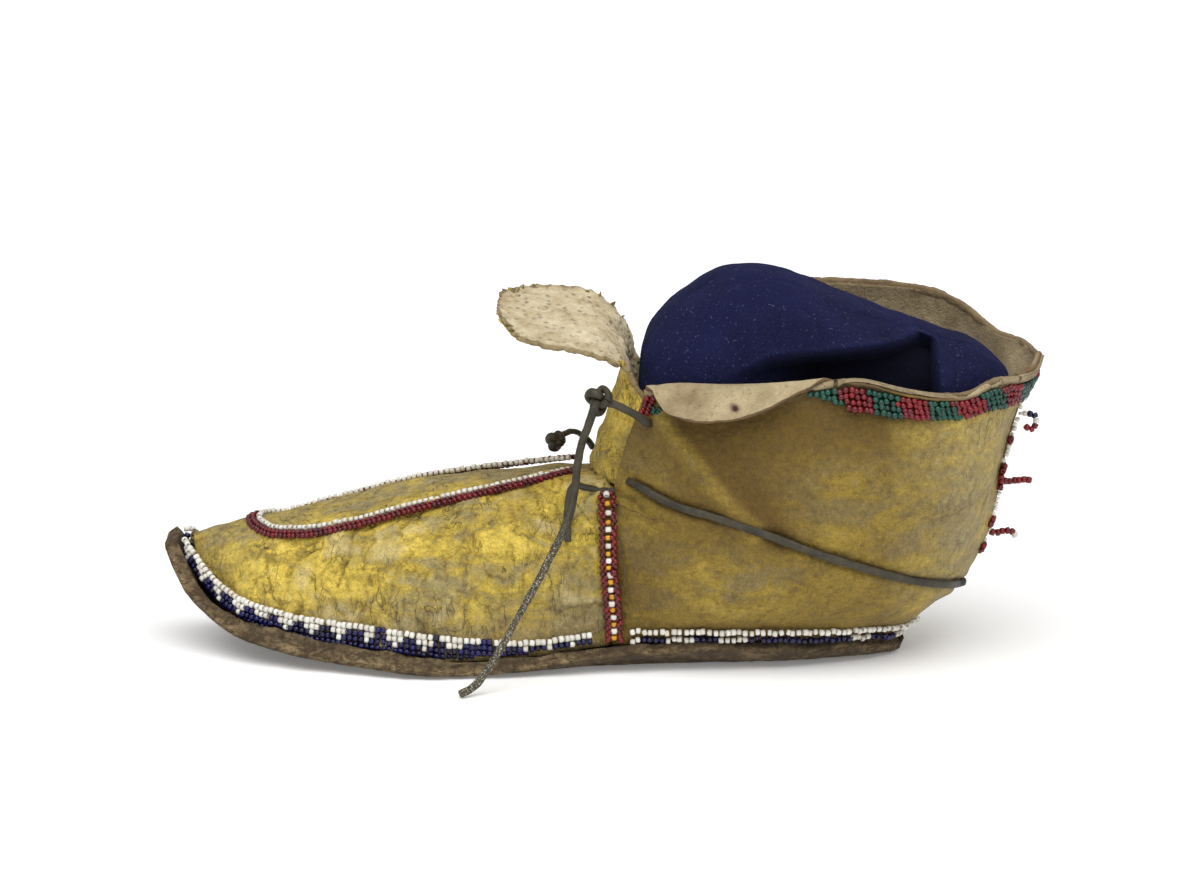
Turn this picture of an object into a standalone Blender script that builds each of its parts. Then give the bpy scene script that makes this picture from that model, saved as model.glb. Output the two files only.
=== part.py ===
"""A left hard-soled moccasin with beaded seams, a drawstring lace and a cloth filling.

Frame: metres, +Z up. The toe points to -X and the heel to +X, the outer (lateral) side is -Y
and the inner (medial) side is +Y. The origin is the centre of the footprint, on the floor.
Sizes below are in millimetres and are scaled once, where a mesh or a curve is made.
"""

import math

import bmesh
import bpy
import numpy as np
from mathutils import Vector

MM = 0.001
GAP = 0.35
SOLE_GAP = 0.9
HEEL_SEAM_GAP = 0.8

# The middle of the footprint in the drawing's coordinates, which becomes the origin.
ORIGIN = (0.7, -2.5, 0)

# Sole: stations (x, lateral edge y, medial edge y) and the rise of its under side.
SOLE_THICK = 4.0
SOLE_TOE_X, SOLE_HEEL_X = -150.0, 104.0
SOLE_STATIONS = (
    (-150, 8, 17), (-140, -9, 25), (-120, -25, 33), (-90, -38, 40), (-60, -45, 42),
    (-30, -44, 36), (0, -39, 31), (30, -37, 31), (60, -36.5, 33), (85, -28, 27), (104, -5, 5),
)
SOLE_FLAT = 0.45
CENTRE_RISE = ((-150, 34.5), (-143, 21), (-135, 12), (-125, 7), (-112, 3.2), (-98, 1), (-84, 0), (104, 0))
LATERAL_RISE = (
    (-150, 34.5), (-143, 22), (-133, 13.8), (-125, 9.5), (-112, 6.4), (-98, 4.4), (-80, 3),
    (-54, 1), (-28, 2), (6, 6), (68, 6), (88, 4.5), (104, 0.5),
)
MEDIAL_RISE = (
    (-150, 34.5), (-143, 27.5), (-133, 18.5), (-125, 13), (-112, 8), (-98, 5), (-80, 3),
    (-54, 1.5), (-28, 4), (6, 7), (68, 5.5), (88, 4), (104, 0.5),
)

# Upper: how far it sits in from the sole's edge, and the vamp's crest and fullness along x.
LEATHER = 1.6
UPPER_INSET = ((-150, 5.5), (-120, 5), (-80, 4), (-30, 3), (4, 2.2), (104, 2.0))
SIDE_SEAM_X = 4.0
VAMP_START = 0.06
INSTEP_BACK = 9.0
CREST = (
    (-146, 14, 32), (-142, 14, 35), (-137, 13, 37.2), (-122, 10, 41.8), (-103, 7, 47.2),
    (-84, 4, 52.2), (-62, 2, 57.2), (-36, 0, 61.2), (-14, -2, 63.6), (6, -3, 65.4),
)
FULLNESS = ((-150, 1.9), (-125, 2.0), (-100, 2.2), (-60, 2.5), (-20, 2.85), (6, 3.1))
SIDE_BULGE = ((-150, 0), (-110, 0.5), (-60, 1.2), (-20, 2.2), (6, 3.2))

# Quarters: rows of points from the side seam round to the heel seam, one row a level.
LATERAL_LEVELS = (
    ((30, -43, 27), (60, -44.5, 27), (90, -40, 26), (114, -24, 25), (125, 0, 25)),
    ((30, -44, 47), (62, -47, 48), (95, -44, 47), (122, -27, 46), (134, 0, 45.6)),
    ((31, -42, 63), (64, -46, 65), (98, -44, 65), (127, -28, 65), (138, 0, 66)),
    ((9, -27.5, 78), (34, -37, 81), (66, -42, 83), (100, -42, 81), (130, -28, 81), (142.2, 0, 82)),
    (
        (15, -28, 94.5), (28, -31.5, 96), (42, -34.5, 96.2), (58, -37, 97), (70, -38.5, 98.5),
        (86, -39, 100.5), (100, -39, 97.4), (113, -37, 95), (123, -33, 94.8), (131, -28, 97.8),
        (140, -19, 97.4), (146.5, -9, 98), (149.4, 0, 101.5),
    ),
)
MEDIAL_LEVELS = (
    ((30, 36, 27), (60, 40, 27), (90, 36, 26), (113, 22, 25), (125, 0, 25)),
    ((30, 38, 47), (62, 42, 48), (95, 40, 47), (121, 25, 46), (134, 0, 45.6)),
    ((31, 38, 65), (64, 42, 67), (98, 41, 67), (126, 27, 66), (138, 0, 66)),
    ((10.5, 28, 84), (34, 34, 90), (66, 38, 93), (100, 38, 92), (129, 26, 88), (142.2, 0, 82)),
    (
        (15, 28, 115), (28, 30, 117.5), (45, 33, 119.5), (70, 35, 121), (95, 34.5, 120.4),
        (113, 31.5, 118.8), (123, 27, 115.6), (131, 22, 110.4), (138, 16, 106), (145, 9, 104.6),
        (149.4, 0, 101.5),
    ),
)
SEAM_HEIGHTS = (26, 45, 59.5)
LEVEL_AT = (0, 0.22, 0.42, 0.6, 0.79, 1)
FOLD_RADIUS = 1.3
FOLD_WIDTH = ((15, 2), (18, 3.4), (21, 7), (25, 11), (31, 14), (45, 15), (58, 11.5), (66, 6), (73, 2.2), (150, 1.2))

# Tongue: side view of its middle line (x, z, half width, sweep back at its edges).
TONGUE_THICK = 1.8
TONGUE_LINE = (
    (-3.6, 65.6, 22, 3), (0.2, 76, 23.5, 6.5), (4.2, 87, 24, 4), (7, 97, 24, 0),
    (6.4, 104.4, 25.5, 0), (1, 110.2, 28.5, 0), (-9, 113.4, 31, 0), (-20, 114.6, 30, 0),
    (-29, 115.8, 25, 1), (-35, 117.6, 14, 2.5),
)
TONGUE_TILT = 0.15
TONGUE_SPLIT = 3.0
TONGUE_SPLIT_GAP = 0.14

# Drawstring: a 2.7 mm hide lace.
LACE = 2.7
LACE_ON_QUARTER = (
    (0.05, 64), (0.14, 59.5), (0.25, 55.5), (0.37, 49), (0.43, 45.5),
    (0.61, 36.5), (0.72, 31.5), (0.82, 28), (0.91, 25.2), (1, 22.5),
)
KNOT = (-0.5, -34.5, 93.5)
FREE_END = (
    (-3.6, -38.6, 86.5), (-5.6, -38.8, 81), (-7.4, -38.9, 73), (-8.4, -40.2, 64), (-11, -44.6, 54),
    (-15.6, -48.6, 45), (-21, -51.6, 35), (-26.5, -54.6, 25.5), (-32, -58, 16), (-37.4, -61.8, 8),
    (-41.6, -65, 3.2), (-46, -68.2, 1.6),
)
COLLAR_END = ((4.6, -34.6, 92), (9, -34.2, 90), (13, -33.2, 87.4), (15.2, -32.6, 85.6))

# Beads: 2.2 mm seed beads, as plain strips here.
BEAD = 2.0
DANGLES = (
    ("heel_dangle_upper", 81.5, ((0, 0), (2.6, -0.6), (4.4, -2.8), (4.2, -5.4))),
    ("heel_dangle_middle", 58.6, ((0, 0), (2.8, 0.2), (5.6, 0.6), (7.6, 0.2))),
    ("heel_dangle_lower", 40.6, ((0, 0), (2.8, 0.4), (5.6, 0.6), (7.4, -1.6))),
)

HEEL_BEAD = 2.2
HEEL_LEAN = math.radians(14)
TOE_BEADS_FROM = 0.12
SEAM_CLEAR = 0.045
SEAM_LIFT = 1.2
BAND_LIFT, OUTLINE_LIFT = 0.45, 0.45
BAND_FOOT = 2.0
FRONT_BAND_TOP = ((-150, 8.2), (-45, 8.2), (-22, 5.8), (4, 5.6))
REAR_BAND = (0.032, 0.08)
SIDE_STRIP, SIDE_STRIP_SPAN = 6.4, (1.9, 45.5)
RED_OUTLINE = (
    (-9, -13), (-22, -17.5), (-36, -20), (-61, -21.5), (-82, -19.5), (-104, -12), (-115, -4),
    (-119.5, 5), (-118.5, 13), (-112, 18.5), (-98, 21), (-80, 21), (-60, 20), (-36, 17), (-20, 13), (-9, 9),
)
WHITE_OUTLINE = (
    (-9, -9.6), (-22, -14), (-36, -16.6), (-61, -18), (-82, -16), (-103, -8.6), (-111.6, -1.6),
    (-115.8, 6), (-114.6, 11.6), (-110, 15), (-97, 17.6), (-80, 17.6), (-60, 16.6), (-36, 13.6), (-20, 9.6), (-9, 5.6),
)
FRONT_RUN = ((-8.5, -22.5), (-5, -23.8), (-1, -25), (2.4, -25.8))
KNOT_RADII = (4.2, 3.6, 5.4)
MEDIAL_END = ((-4, 27, 66), (-7, 25.4, 69), (-10, 22, 70.5), (-12, 19.4, 70.4))
MEDIAL_KNOT = (-15.4, 15.4, 68.6)
MEDIAL_KNOT_RADII = (3, 2.6, 3.6)

# Cloth filling: crown line (x, y, z), and its plan edge (x, lateral y, medial y).
FILL_CROWN = (
    (13, 0, 101), (17, 2, 111), (24, 4, 119.5), (34, 5, 127), (47, 5, 132), (62, 5, 130.5),
    (78, 6, 123.6), (98, 7, 116.6), (116, 6, 110.6), (130, 2, 105.5), (139, -1, 98),
)
FILL_EDGE = (
    (13, -11, 12), (17, -19, 19), (24, -25, 23), (34, -28.6, 26), (47, -31.6, 28.5), (64, -34, 30),
    (90, -35, 30), (106, -34, 28), (119, -28.5, 22), (130, -20, 13), (139, -8, 5),
)
FILL_RIM = ((13, 93), (24, 96), (60, 98), (90, 98), (112, 95), (139, 93))
FILL_MEDIAL_LIFT = 9.0
FILL_BOTTOM = ((13, 56), (60, 54), (104, 55), (114, 58), (122, 64), (132, 78), (139, 86))

COLOURS = {
    "rawhide": ((0.156, 0.107, 0.052), 0.8),
    "buckskin": ((0.36, 0.24, 0.055), 0.85),
    "flesh_side": ((0.53, 0.43, 0.26), 0.9),
    "lace_hide": ((0.07, 0.075, 0.045), 0.6),
    "beads_red": ((0.2, 0.006, 0.012), 0.25),
    "beads_white": ((0.75, 0.74, 0.7), 0.25),
    "beads_navy": ((0.01, 0.01, 0.09), 0.25),
    "beads_green": ((0.01, 0.13, 0.08), 0.25),
    "cloth_blue": ((0.012, 0.015, 0.06), 1.0),
}


def clear_scene():
    for obj in list(bpy.data.objects):
        bpy.data.objects.remove(obj, do_unlink=True)


def new_collection(name):
    collection = bpy.data.collections.new(name)
    bpy.context.scene.collection.children.link(collection)
    return collection


def material(name):
    found = bpy.data.materials.get(name)
    if found:
        return found
    colour, roughness = COLOURS[name]
    made = bpy.data.materials.new(name)
    made.use_nodes = True
    shader = made.node_tree.nodes["Principled BSDF"]
    shader.inputs["Base Color"].default_value = (*colour, 1)
    shader.inputs["Roughness"].default_value = roughness
    return made


def spline(rows):
    """A smooth function through rows of (t, value, ...), held at its end values beyond them."""
    table = np.array(rows, float)
    t, values = table[:, 0], table[:, 1:]
    slopes = np.gradient(values, t, axis=0)

    def at(x):
        x = min(max(x, t[0]), t[-1])
        i = min(int(np.searchsorted(t, x, side="right")) - 1, len(t) - 2)
        step = t[i + 1] - t[i]
        s = (x - t[i]) / step
        ends = (2 * s**3 - 3 * s**2 + 1) * values[i] + (3 * s**2 - 2 * s**3) * values[i + 1]
        turns = (s**3 - 2 * s**2 + s) * slopes[i] + (s**3 - s**2) * slopes[i + 1]
        value = ends + step * turns
        return value if len(value) > 1 else float(value[0])

    return at


def through(points):
    """A smooth curve through points, as a function of 0 to 1 that runs at an even pace."""
    points = np.array(points, float)
    steps = np.linalg.norm(np.diff(points, axis=0), axis=1)
    along = np.concatenate([[0], np.cumsum(steps)]) / steps.sum()
    return spline(np.column_stack([along, points]))


def placed(point):
    """A point of the drawing, in the part's frame and in metres."""
    return (np.array(point) - ORIGIN) * MM


def drawn(point):
    return np.array(point) / MM + ORIGIN


def smooth_step(x):
    x = min(max(x, 0.0), 1.0)
    return x * x * (3 - 2 * x)


# Sole ---------------------------------------------------------------------------------------

HALF_LENGTH = (SOLE_HEEL_X - SOLE_TOE_X) / 2


def turn_of(x):
    """The angle at which the sole's half circle of stations reaches x: 0 at the toe, pi at the heel."""
    return math.acos(min(max(1 - (x - SOLE_TOE_X) / HALF_LENGTH, -1), 1))


def x_of(turn):
    return SOLE_TOE_X + HALF_LENGTH * (1 - math.cos(turn))


sole_edges = spline([(turn_of(x), lateral, medial) for x, lateral, medial in SOLE_STATIONS])
centre_rise, lateral_rise, medial_rise = map(spline, (CENTRE_RISE, LATERAL_RISE, MEDIAL_RISE))
upper_inset = spline(UPPER_INSET)


def under_side(x, across):
    """The sole's lower face at x, with across from -1 at the lateral edge to 1 at the medial one."""
    lateral, medial = sole_edges(turn_of(x))
    y = lateral + (medial - lateral) * (across + 1) / 2
    edge = lateral_rise(x) if across < 0 else medial_rise(x)
    share = max(0.0, (abs(across) - SOLE_FLAT) / (1 - SOLE_FLAT)) ** 1.6
    z = centre_rise(x) + (edge - centre_rise(x)) * share
    return np.array((x, y, max(z, 0.0)))


def sole_surface(s, t):
    return under_side(x_of(math.pi * s), 2 * t - 1)


def outline(side, turn):
    return np.array((x_of(turn), sole_edges(turn)[0 if side < 0 else 1]))


def feather(side, turn):
    """The point on top of the sole where the upper's lower edge stands, at this turn of the outline."""
    step = 0.01
    low, high = max(turn - step, 0), min(turn + step, math.pi)
    along = outline(side, high) - outline(side, low)
    inward = np.array((-along[1], along[0])) * -side
    x, y = outline(side, turn) + inward / np.linalg.norm(inward) * upper_inset(x_of(turn))
    return on_sole_top(x, y)


def on_sole_top(x, y):
    lateral, medial = sole_edges(turn_of(x))
    across = min(max(2 * (y - lateral) / (medial - lateral) - 1, -1), 1)
    step = 0.5
    width = 2 * step / (medial - lateral)
    along = under_side(x + step, across) - under_side(x - step, across)
    sideways = under_side(x, min(across + width, 1)) - under_side(x, max(across - width, -1))
    normal = np.cross(along, sideways)
    return under_side(x, across) + normal / np.linalg.norm(normal) * (SOLE_THICK + SOLE_GAP)


# Upper --------------------------------------------------------------------------------------

crest = spline(CREST)
fullness = spline(FULLNESS)
side_bulge = spline(SIDE_BULGE)
SEAM_TURN = turn_of(SIDE_SEAM_X)


def vamp_section(turn, t):
    """The vamp at one turn of the outline: t runs from -1, lateral feather, over the crest to 1, medial."""
    side = -1 if t < 0 else 1
    foot = feather(side, turn)
    middle_x = (feather(-1, turn)[0] + feather(1, turn)[0]) / 2
    crest_y, crest_z = crest(middle_x)
    angle = math.pi / 2 * (1 - abs(t))
    power = 2 / fullness(middle_x)
    out = math.cos(angle) ** power if angle < math.pi / 2 - 1e-6 else 0.0
    up = math.sin(angle) ** power if angle > 1e-6 else 0.0
    y = crest_y + (foot[1] - crest_y) * out + side * side_bulge(middle_x) * math.sin(2 * angle)
    x = middle_x + (foot[0] - middle_x) * out
    return np.array((x, y, foot[2] + (crest_z - foot[2]) * up))


def vamp_t(turn, side, height):
    """The t at which the vamp stands this high over its feather line."""
    foot, middle_x = feather(side, turn), (feather(-1, turn)[0] + feather(1, turn)[0]) / 2
    share = min(height / (crest(middle_x)[1] - foot[2]), 1)
    return side * (1 - math.asin(share ** (fullness(middle_x) / 2)) / (math.pi / 2))


def vamp(s, t):
    """s runs from the toe to the rear edge, which lies further forward over the instep."""
    back = SIDE_SEAM_X - GAP - INSTEP_BACK * smooth_step((0.42 - abs(t)) / 0.2)
    return vamp_section(turn_of(back) * s, t)


def vamp_at(x, y):
    """The vamp above a point of the plan."""
    low, high = 0.0, 1.0
    side = -1 if y < crest(x)[0] else 1
    turn = turn_of(x)
    for _ in range(30):
        middle = (low + high) / 2
        if side * vamp_section(turn, side * middle)[1] < side * y:
            low = middle
        else:
            high = middle
    return vamp_section(turn, side * low)


def seam_point(side, height):
    """Where the vamp's rear edge reaches this height."""
    low, high = 0.0, 1.0
    for _ in range(30):
        middle = (low + high) / 2
        if vamp_section(SEAM_TURN, side * middle)[2] > height:
            low = middle
        else:
            high = middle
    point = vamp_section(SEAM_TURN, side * low)
    return (SIDE_SEAM_X + GAP, point[1], height)


def quarter(side):
    """The outer face of a quarter: u from the side seam to the heel seam, v from the sole to the rim."""
    levels = LATERAL_LEVELS if side < 0 else MEDIAL_LEVELS
    turns = np.linspace(SEAM_TURN, turn_of(97), 6)
    rows = [[feather(side, turn) for turn in turns] + [on_sole_top(101.8, 0)]]
    rows[0][0][0] = SIDE_SEAM_X + GAP
    rows += [[seam_point(side, z), *row] for z, row in zip(SEAM_HEIGHTS, levels)]
    rows += [list(row) for row in levels[3:]]
    curves = [through(row) for row in rows]

    def at(u, v):
        points = np.array([curve(u) for curve in curves])
        point = spline(np.column_stack([LEVEL_AT, points]))(v)
        if side * point[1] < HEEL_SEAM_GAP:
            point[1] = side * HEEL_SEAM_GAP
        return point

    return at


lateral, medial = quarter(-1), quarter(1)
fold_width = spline(FOLD_WIDTH)


def folded_rim(u, v):
    """The lateral quarter, whose rim carries on over a tight roll and hangs down outside."""
    if v <= 1:
        return lateral(u, v)
    rim, below = lateral(u, 1), lateral(u, 0.97)
    along = lateral(min(u + 0.01, 1), 1) - lateral(max(u - 0.01, 0), 1)
    out = np.array((along[1], -along[0], 0))
    out /= np.linalg.norm(out)
    up = (rim - below) / np.linalg.norm(rim - below)
    length = fold_width(rim[0]) * (v - 1)
    half_turn = math.radians(150)
    angle = min(length / FOLD_RADIUS, half_turn)
    rest = length - angle * FOLD_RADIUS
    sideways = FOLD_RADIUS * (1 - math.cos(angle)) + rest * math.sin(angle)
    rise = FOLD_RADIUS * math.sin(angle) + rest * math.cos(angle)
    return rim + out * sideways + up * rise


def from_foot(point):
    """The direction from the middle of the foot to a point, which says which side is outside."""
    x, y, z = point
    return np.array((x - min(max(x, -110), 70), y - 1, z - 25))


def normal_at(surface, u, v, steps=(0.004, 0.004)):
    across_u = surface(u + steps[0], v) - surface(u - steps[0], v)
    across_v = surface(u, v + steps[1]) - surface(u, v - steps[1])
    normal = np.cross(across_u, across_v)
    normal /= np.linalg.norm(normal)
    return normal if normal @ from_foot(surface(u, v)) > 0 else -normal


def raised(surface, height, steps=(0.004, 0.004)):
    """A surface moved outwards along its own normal."""
    return lambda u, v: surface(u, v) + normal_at(surface, u, v, steps) * height


def at_height(surface, u, height):
    """The v at which a surface reaches this height, for one u."""
    low, high = 0.0, 1.0
    for _ in range(30):
        middle = (low + high) / 2
        if surface(u, middle)[2] < height:
            low = middle
        else:
            high = middle
    return low


# Making objects -----------------------------------------------------------------------------


def shell(name, surface, u_range, v_range, cells, thickness, slot, parts, outside=from_foot):
    """A closed sheet: a grid on a surface, thickened outwards, or inwards if thickness is below 0."""
    mesh = bpy.data.meshes.new(name)
    work = bmesh.new()
    bmesh.ops.create_grid(work, x_segments=cells[0], y_segments=cells[1], size=0.5)
    for vertex in work.verts:
        s, t = vertex.co.x + 0.5, vertex.co.y + 0.5
        u = u_range[0] + (u_range[1] - u_range[0]) * s
        v = v_range[0] + (v_range[1] - v_range[0]) * t
        vertex.co = placed(surface(u, v))
    work.normal_update()
    facing = [f.normal @ Vector(outside(drawn(f.calc_center_median()))) * f.calc_area() for f in work.faces]
    if sum(facing) < 0:
        bmesh.ops.reverse_faces(work, faces=work.faces)
    work.to_mesh(mesh)
    work.free()
    obj = bpy.data.objects.new(name, mesh)
    solidify = obj.modifiers.new("thickness", "SOLIDIFY")
    solidify.thickness = abs(thickness) * MM
    solidify.offset = 1 if thickness > 0 else -1
    solidify.use_quality_normals = True
    finish(obj, slot, parts)


def tube(name, points, diameter, slot, parts, sides=2):
    curve = bpy.data.curves.new(name, "CURVE")
    curve.dimensions = "3D"
    curve.bevel_depth = diameter / 2 * MM
    curve.bevel_resolution = sides
    curve.use_fill_caps = True
    strand = curve.splines.new("POLY")
    strand.points.add(len(points) - 1)
    for point, place in zip(strand.points, points):
        point.co = (*placed(place), 1)
    finish(bpy.data.objects.new(name, curve), slot, parts)


def lump(name, centre, radii, slot, parts):
    """A knot pulled tight, as a plain rounded body."""
    mesh = bpy.data.meshes.new(name)
    work = bmesh.new()
    bmesh.ops.create_uvsphere(work, u_segments=12, v_segments=8, radius=MM)
    for vertex in work.verts:
        vertex.co = [c * r for c, r in zip(vertex.co, radii)]
    work.to_mesh(mesh)
    work.free()
    obj = bpy.data.objects.new(name, mesh)
    obj.location = placed(centre)
    finish(obj, slot, parts)


def finish(obj, slot, parts):
    obj.data.materials.append(material(slot))
    if obj.type == "MESH":
        obj.data.shade_smooth()
    parts.objects.link(obj)


def sampled(surface_points, count):
    curve = through(surface_points)
    return [curve(i / (count - 1)) for i in range(count)]


# The pieces ---------------------------------------------------------------------------------


def upwards(point):
    return (0, 0, 1)


def make_sole(parts):
    shell("rawhide_sole", sole_surface, (0, 1), (0, 1), (36, 13), SOLE_THICK, "rawhide", parts, upwards)


def make_upper(parts):
    inwards = -LEATHER
    shell("vamp", vamp, (VAMP_START, 1), (-1, 1), (30, 28), inwards, "buckskin", parts)
    shell("lateral_quarter", folded_rim, (0, 1), (0, 2), (26, 26), inwards, "buckskin", parts)
    shell("medial_quarter", medial, (0, 1), (0, 1), (24, 14), inwards, "buckskin", parts)


tongue_line = spline([(i, *row) for i, row in enumerate(TONGUE_LINE)])


def tongue_surface(s, t):
    """The tongue's front face, which its curl turns to the underside: s from the seam to the tip."""
    x, z, half, sweep = tongue_line(s)
    y = half * t
    tilt = TONGUE_TILT * smooth_step((s - 2) / 3)
    return np.array((x + sweep * t * t, y, z + tilt * y))


def backwards(point):
    return (1, 0, 1)


def make_tongue(parts):
    last = len(TONGUE_LINE) - 1
    split, half_gap = TONGUE_SPLIT, TONGUE_SPLIT_GAP / 2
    thick = TONGUE_THICK
    base, flap = (0, split - half_gap), (split + half_gap, last)
    shell("tongue_base", tongue_surface, base, (-1, 1), (7, 12), thick, "buckskin", parts, backwards)
    shell("tongue_flap", tongue_surface, flap, (-1, 1), (14, 14), thick, "flesh_side", parts, backwards)


def band(name, surface, u_range, v_range, cells, slot, parts):
    """A strip of beadwork that lies on a face of the upper, a small gap clear of it."""
    lifted = raised(surface, BAND_LIFT)
    shell(name, lifted, u_range, v_range, cells, BEAD, slot, parts)


front_band_top = spline(FRONT_BAND_TOP)


def make_sole_beads(parts):
    """The band that hides the seam of upper and sole: taller round the front, lower behind."""
    for side, name in ((-1, "lateral"), (1, "medial")):

        def round_vamp(turn, v, side=side):
            low, high = BAND_FOOT, front_band_top(x_of(turn))
            return vamp_section(turn, vamp_t(turn, side, low + (high - low) * v))

        front = (TOE_BEADS_FROM, SEAM_TURN - SEAM_CLEAR)
        node = f"{name}_sole_beads_front"
        band(node, round_vamp, front, (0, 1), (32, 2), "beads_navy", parts)
        round_heel = lateral if side < 0 else medial
        node = f"{name}_sole_beads_rear"
        band(node, round_heel, (0.045, 0.975), REAR_BAND, (18, 1), "beads_navy", parts)


def make_side_beads(parts):
    """A narrow upright strip over each side seam, from the sole band to the top of the seam."""
    for side, name in ((-1, "lateral"), (1, "medial")):

        def over_seam(across, height, side=side):
            point = vamp_section(SEAM_TURN, vamp_t(SEAM_TURN, side, height))
            return point + np.array((across, 0, 0))

        wide = (-SIDE_STRIP / 2, SIDE_STRIP / 2)
        lifted = raised(over_seam, SEAM_LIFT, (0.5, 0.5))
        node = f"{name}_side_beads"
        shell(node, lifted, wide, SIDE_STRIP_SPAN, (2, 14), BEAD, "beads_red", parts)


def make_vamp_beads(parts):
    """Two rows that run up the outer side, round the toe and back down the inner side."""
    for name, rows, diameter, slot in (
        ("vamp_beads_red", RED_OUTLINE, 3.6, "beads_red"),
        ("vamp_beads_white", WHITE_OUTLINE, 2.2, "beads_white"),
    ):
        on_vamp = raised(vamp_at, diameter / 2 + OUTLINE_LIFT, (0.5, 0.5))
        line = through([(x, y, 0) for x, y in rows])
        count = 46
        points = [on_vamp(*line(i / (count - 1))[:2]) for i in range(count)]
        tube(name, points, diameter, slot, parts)


def make_collar_beads(parts):
    for name, surface, u_range, v_range, cells, slot in (
        ("lateral_collar_beads", lateral, (0.42, 0.98), (0.865, 0.955), (16, 2), "beads_red"),
        ("lateral_collar_corner_beads", lateral, (0.012, 0.035), (0.91, 0.97), (1, 3), "beads_red"),
        ("medial_collar_beads", medial, (0.03, 0.98), (0.9, 0.965), (24, 2), "beads_red"),
    ):
        band(name, surface, u_range, v_range, cells, slot, parts)


def heel_line(v):
    """The heel seam's outer edge, halfway between the two quarters."""
    point = (lateral(1, v) + medial(1, v)) / 2
    point[1] = 0
    return point


def make_heel_beads(parts):
    """A column of beads down the heel seam, and three short strands that hang free of it."""
    lift = HEEL_BEAD / 2 + GAP + 0.25
    out = np.array((math.cos(HEEL_LEAN), 0, -math.sin(HEEL_LEAN)))
    points = [heel_line(v) + out * lift for v in np.linspace(0.32, 0.865, 24)]
    tube("heel_seam_beads", points, HEEL_BEAD, "beads_white", parts)
    for name, height, strand in DANGLES:
        v = at_height(lambda u, v: heel_line(v), 1, height)
        root = heel_line(v) + out * (lift + HEEL_BEAD / 2 + GAP + BEAD / 2)
        points = sampled([root + np.array((x, 0, z)) for x, z in strand], 6)
        tube(name, points, BEAD, "beads_red", parts)


def make_drawstring(parts):
    """The lace: one run outside the quarters and round the heel, its short front pieces and knots."""
    lift = LACE / 2 + OUTLINE_LIFT

    def on_quarter(surface, u, height):
        return raised(surface, lift)(u, at_height(surface, u, height))

    height_at = spline(LACE_ON_QUARTER)
    start, count = LACE_ON_QUARTER[0][0], 20
    places = np.linspace(start, 0.975, count)
    outer = [on_quarter(lateral, u, height_at(u)) for u in places]
    inner = [on_quarter(medial, u, height_at(u)) for u in places[::-1]]
    heel = heel_line(at_height(lambda u, v: heel_line(v), 1, height_at(1)))
    heel[0] += lift + 0.5
    tube("drawstring_heel_run", outer + [heel] + inner, LACE, "lace_hide", parts)

    on_vamp = raised(vamp_at, LACE / 2 + OUTLINE_LIFT, (0.5, 0.5))
    line = through([(x, y, 0) for x, y in FRONT_RUN])
    front = [on_vamp(*line(i / 5)[:2]) for i in range(6)]
    tube("drawstring_front_run", front, LACE, "lace_hide", parts)

    lump("drawstring_knot", KNOT, KNOT_RADII, "lace_hide", parts)
    tube("drawstring_collar_end", sampled(COLLAR_END, 8), LACE, "lace_hide", parts)
    tube("drawstring_free_end", sampled(FREE_END, 26), LACE, "lace_hide", parts)
    tube("drawstring_medial_end", sampled(MEDIAL_END, 10), LACE, "lace_hide", parts)
    lump("drawstring_medial_knot", MEDIAL_KNOT, MEDIAL_KNOT_RADII, "lace_hide", parts)


fill_crown, fill_edge = spline(FILL_CROWN), spline(FILL_EDGE)
fill_rim, fill_bottom = spline(FILL_RIM), spline(FILL_BOTTOM)


def fill_top(x, across):
    """The bundle's upper face: a crown that falls off to the collar on both sides."""
    crown_y, crown_z = fill_crown(x)
    low, high = fill_edge(x)
    y = low + (high - low) * (across + 1) / 2
    rim = fill_rim(x)
    if y < crown_y:
        share = (crown_y - y) / (crown_y - low)
    else:
        share = (y - crown_y) / (high - crown_y)
        rim += FILL_MEDIAL_LIFT * smooth_step((118 - x) / 60)
    return np.array((x, y, rim + (crown_z - rim) * max(1 - share**2.4, 0) ** 0.62))


def make_filling(parts):
    """A rolled cloth that fills the mouth, with straight sides so that it lifts out."""
    mesh = bpy.data.meshes.new("cloth_filling")
    work = bmesh.new()
    bmesh.ops.create_grid(work, x_segments=18, y_segments=12, size=0.5)
    first, last = FILL_CROWN[0][0], FILL_CROWN[-1][0]
    for vertex in work.verts:
        x = first + (last - first) * (1 - math.cos(math.pi * (vertex.co.x + 0.5))) / 2
        vertex.co = placed(fill_top(x, math.sin(math.pi * vertex.co.y)))
    skirt = bmesh.ops.extrude_face_region(work, geom=work.faces[:])["geom"]
    for vertex in skirt:
        if isinstance(vertex, bmesh.types.BMVert):
            vertex.co.z = fill_bottom(drawn(vertex.co)[0]) * MM
    bmesh.ops.recalc_face_normals(work, faces=work.faces)
    work.to_mesh(mesh)
    work.free()
    finish(bpy.data.objects.new("cloth_filling", mesh), "cloth_blue", parts)


def main():
    clear_scene()
    parts = new_collection("moccasin")
    make_sole(parts)
    make_upper(parts)
    make_tongue(parts)
    make_sole_beads(parts)
    make_side_beads(parts)
    make_vamp_beads(parts)
    make_collar_beads(parts)
    make_heel_beads(parts)
    make_drawstring(parts)
    make_filling(parts)


main()
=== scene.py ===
"""The looks of a left beaded moccasin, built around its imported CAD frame.

Lengths are in millimetres in the drawing's coordinates, as in the CAD part, until placed() turns
them into the row frame: metres, toe at -X, outer (lateral) side at -Y, +Z up, the origin at the
middle of the footprint on the floor.
"""

import math

import bmesh
import bpy
import numpy as np
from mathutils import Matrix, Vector, kdtree


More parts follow.
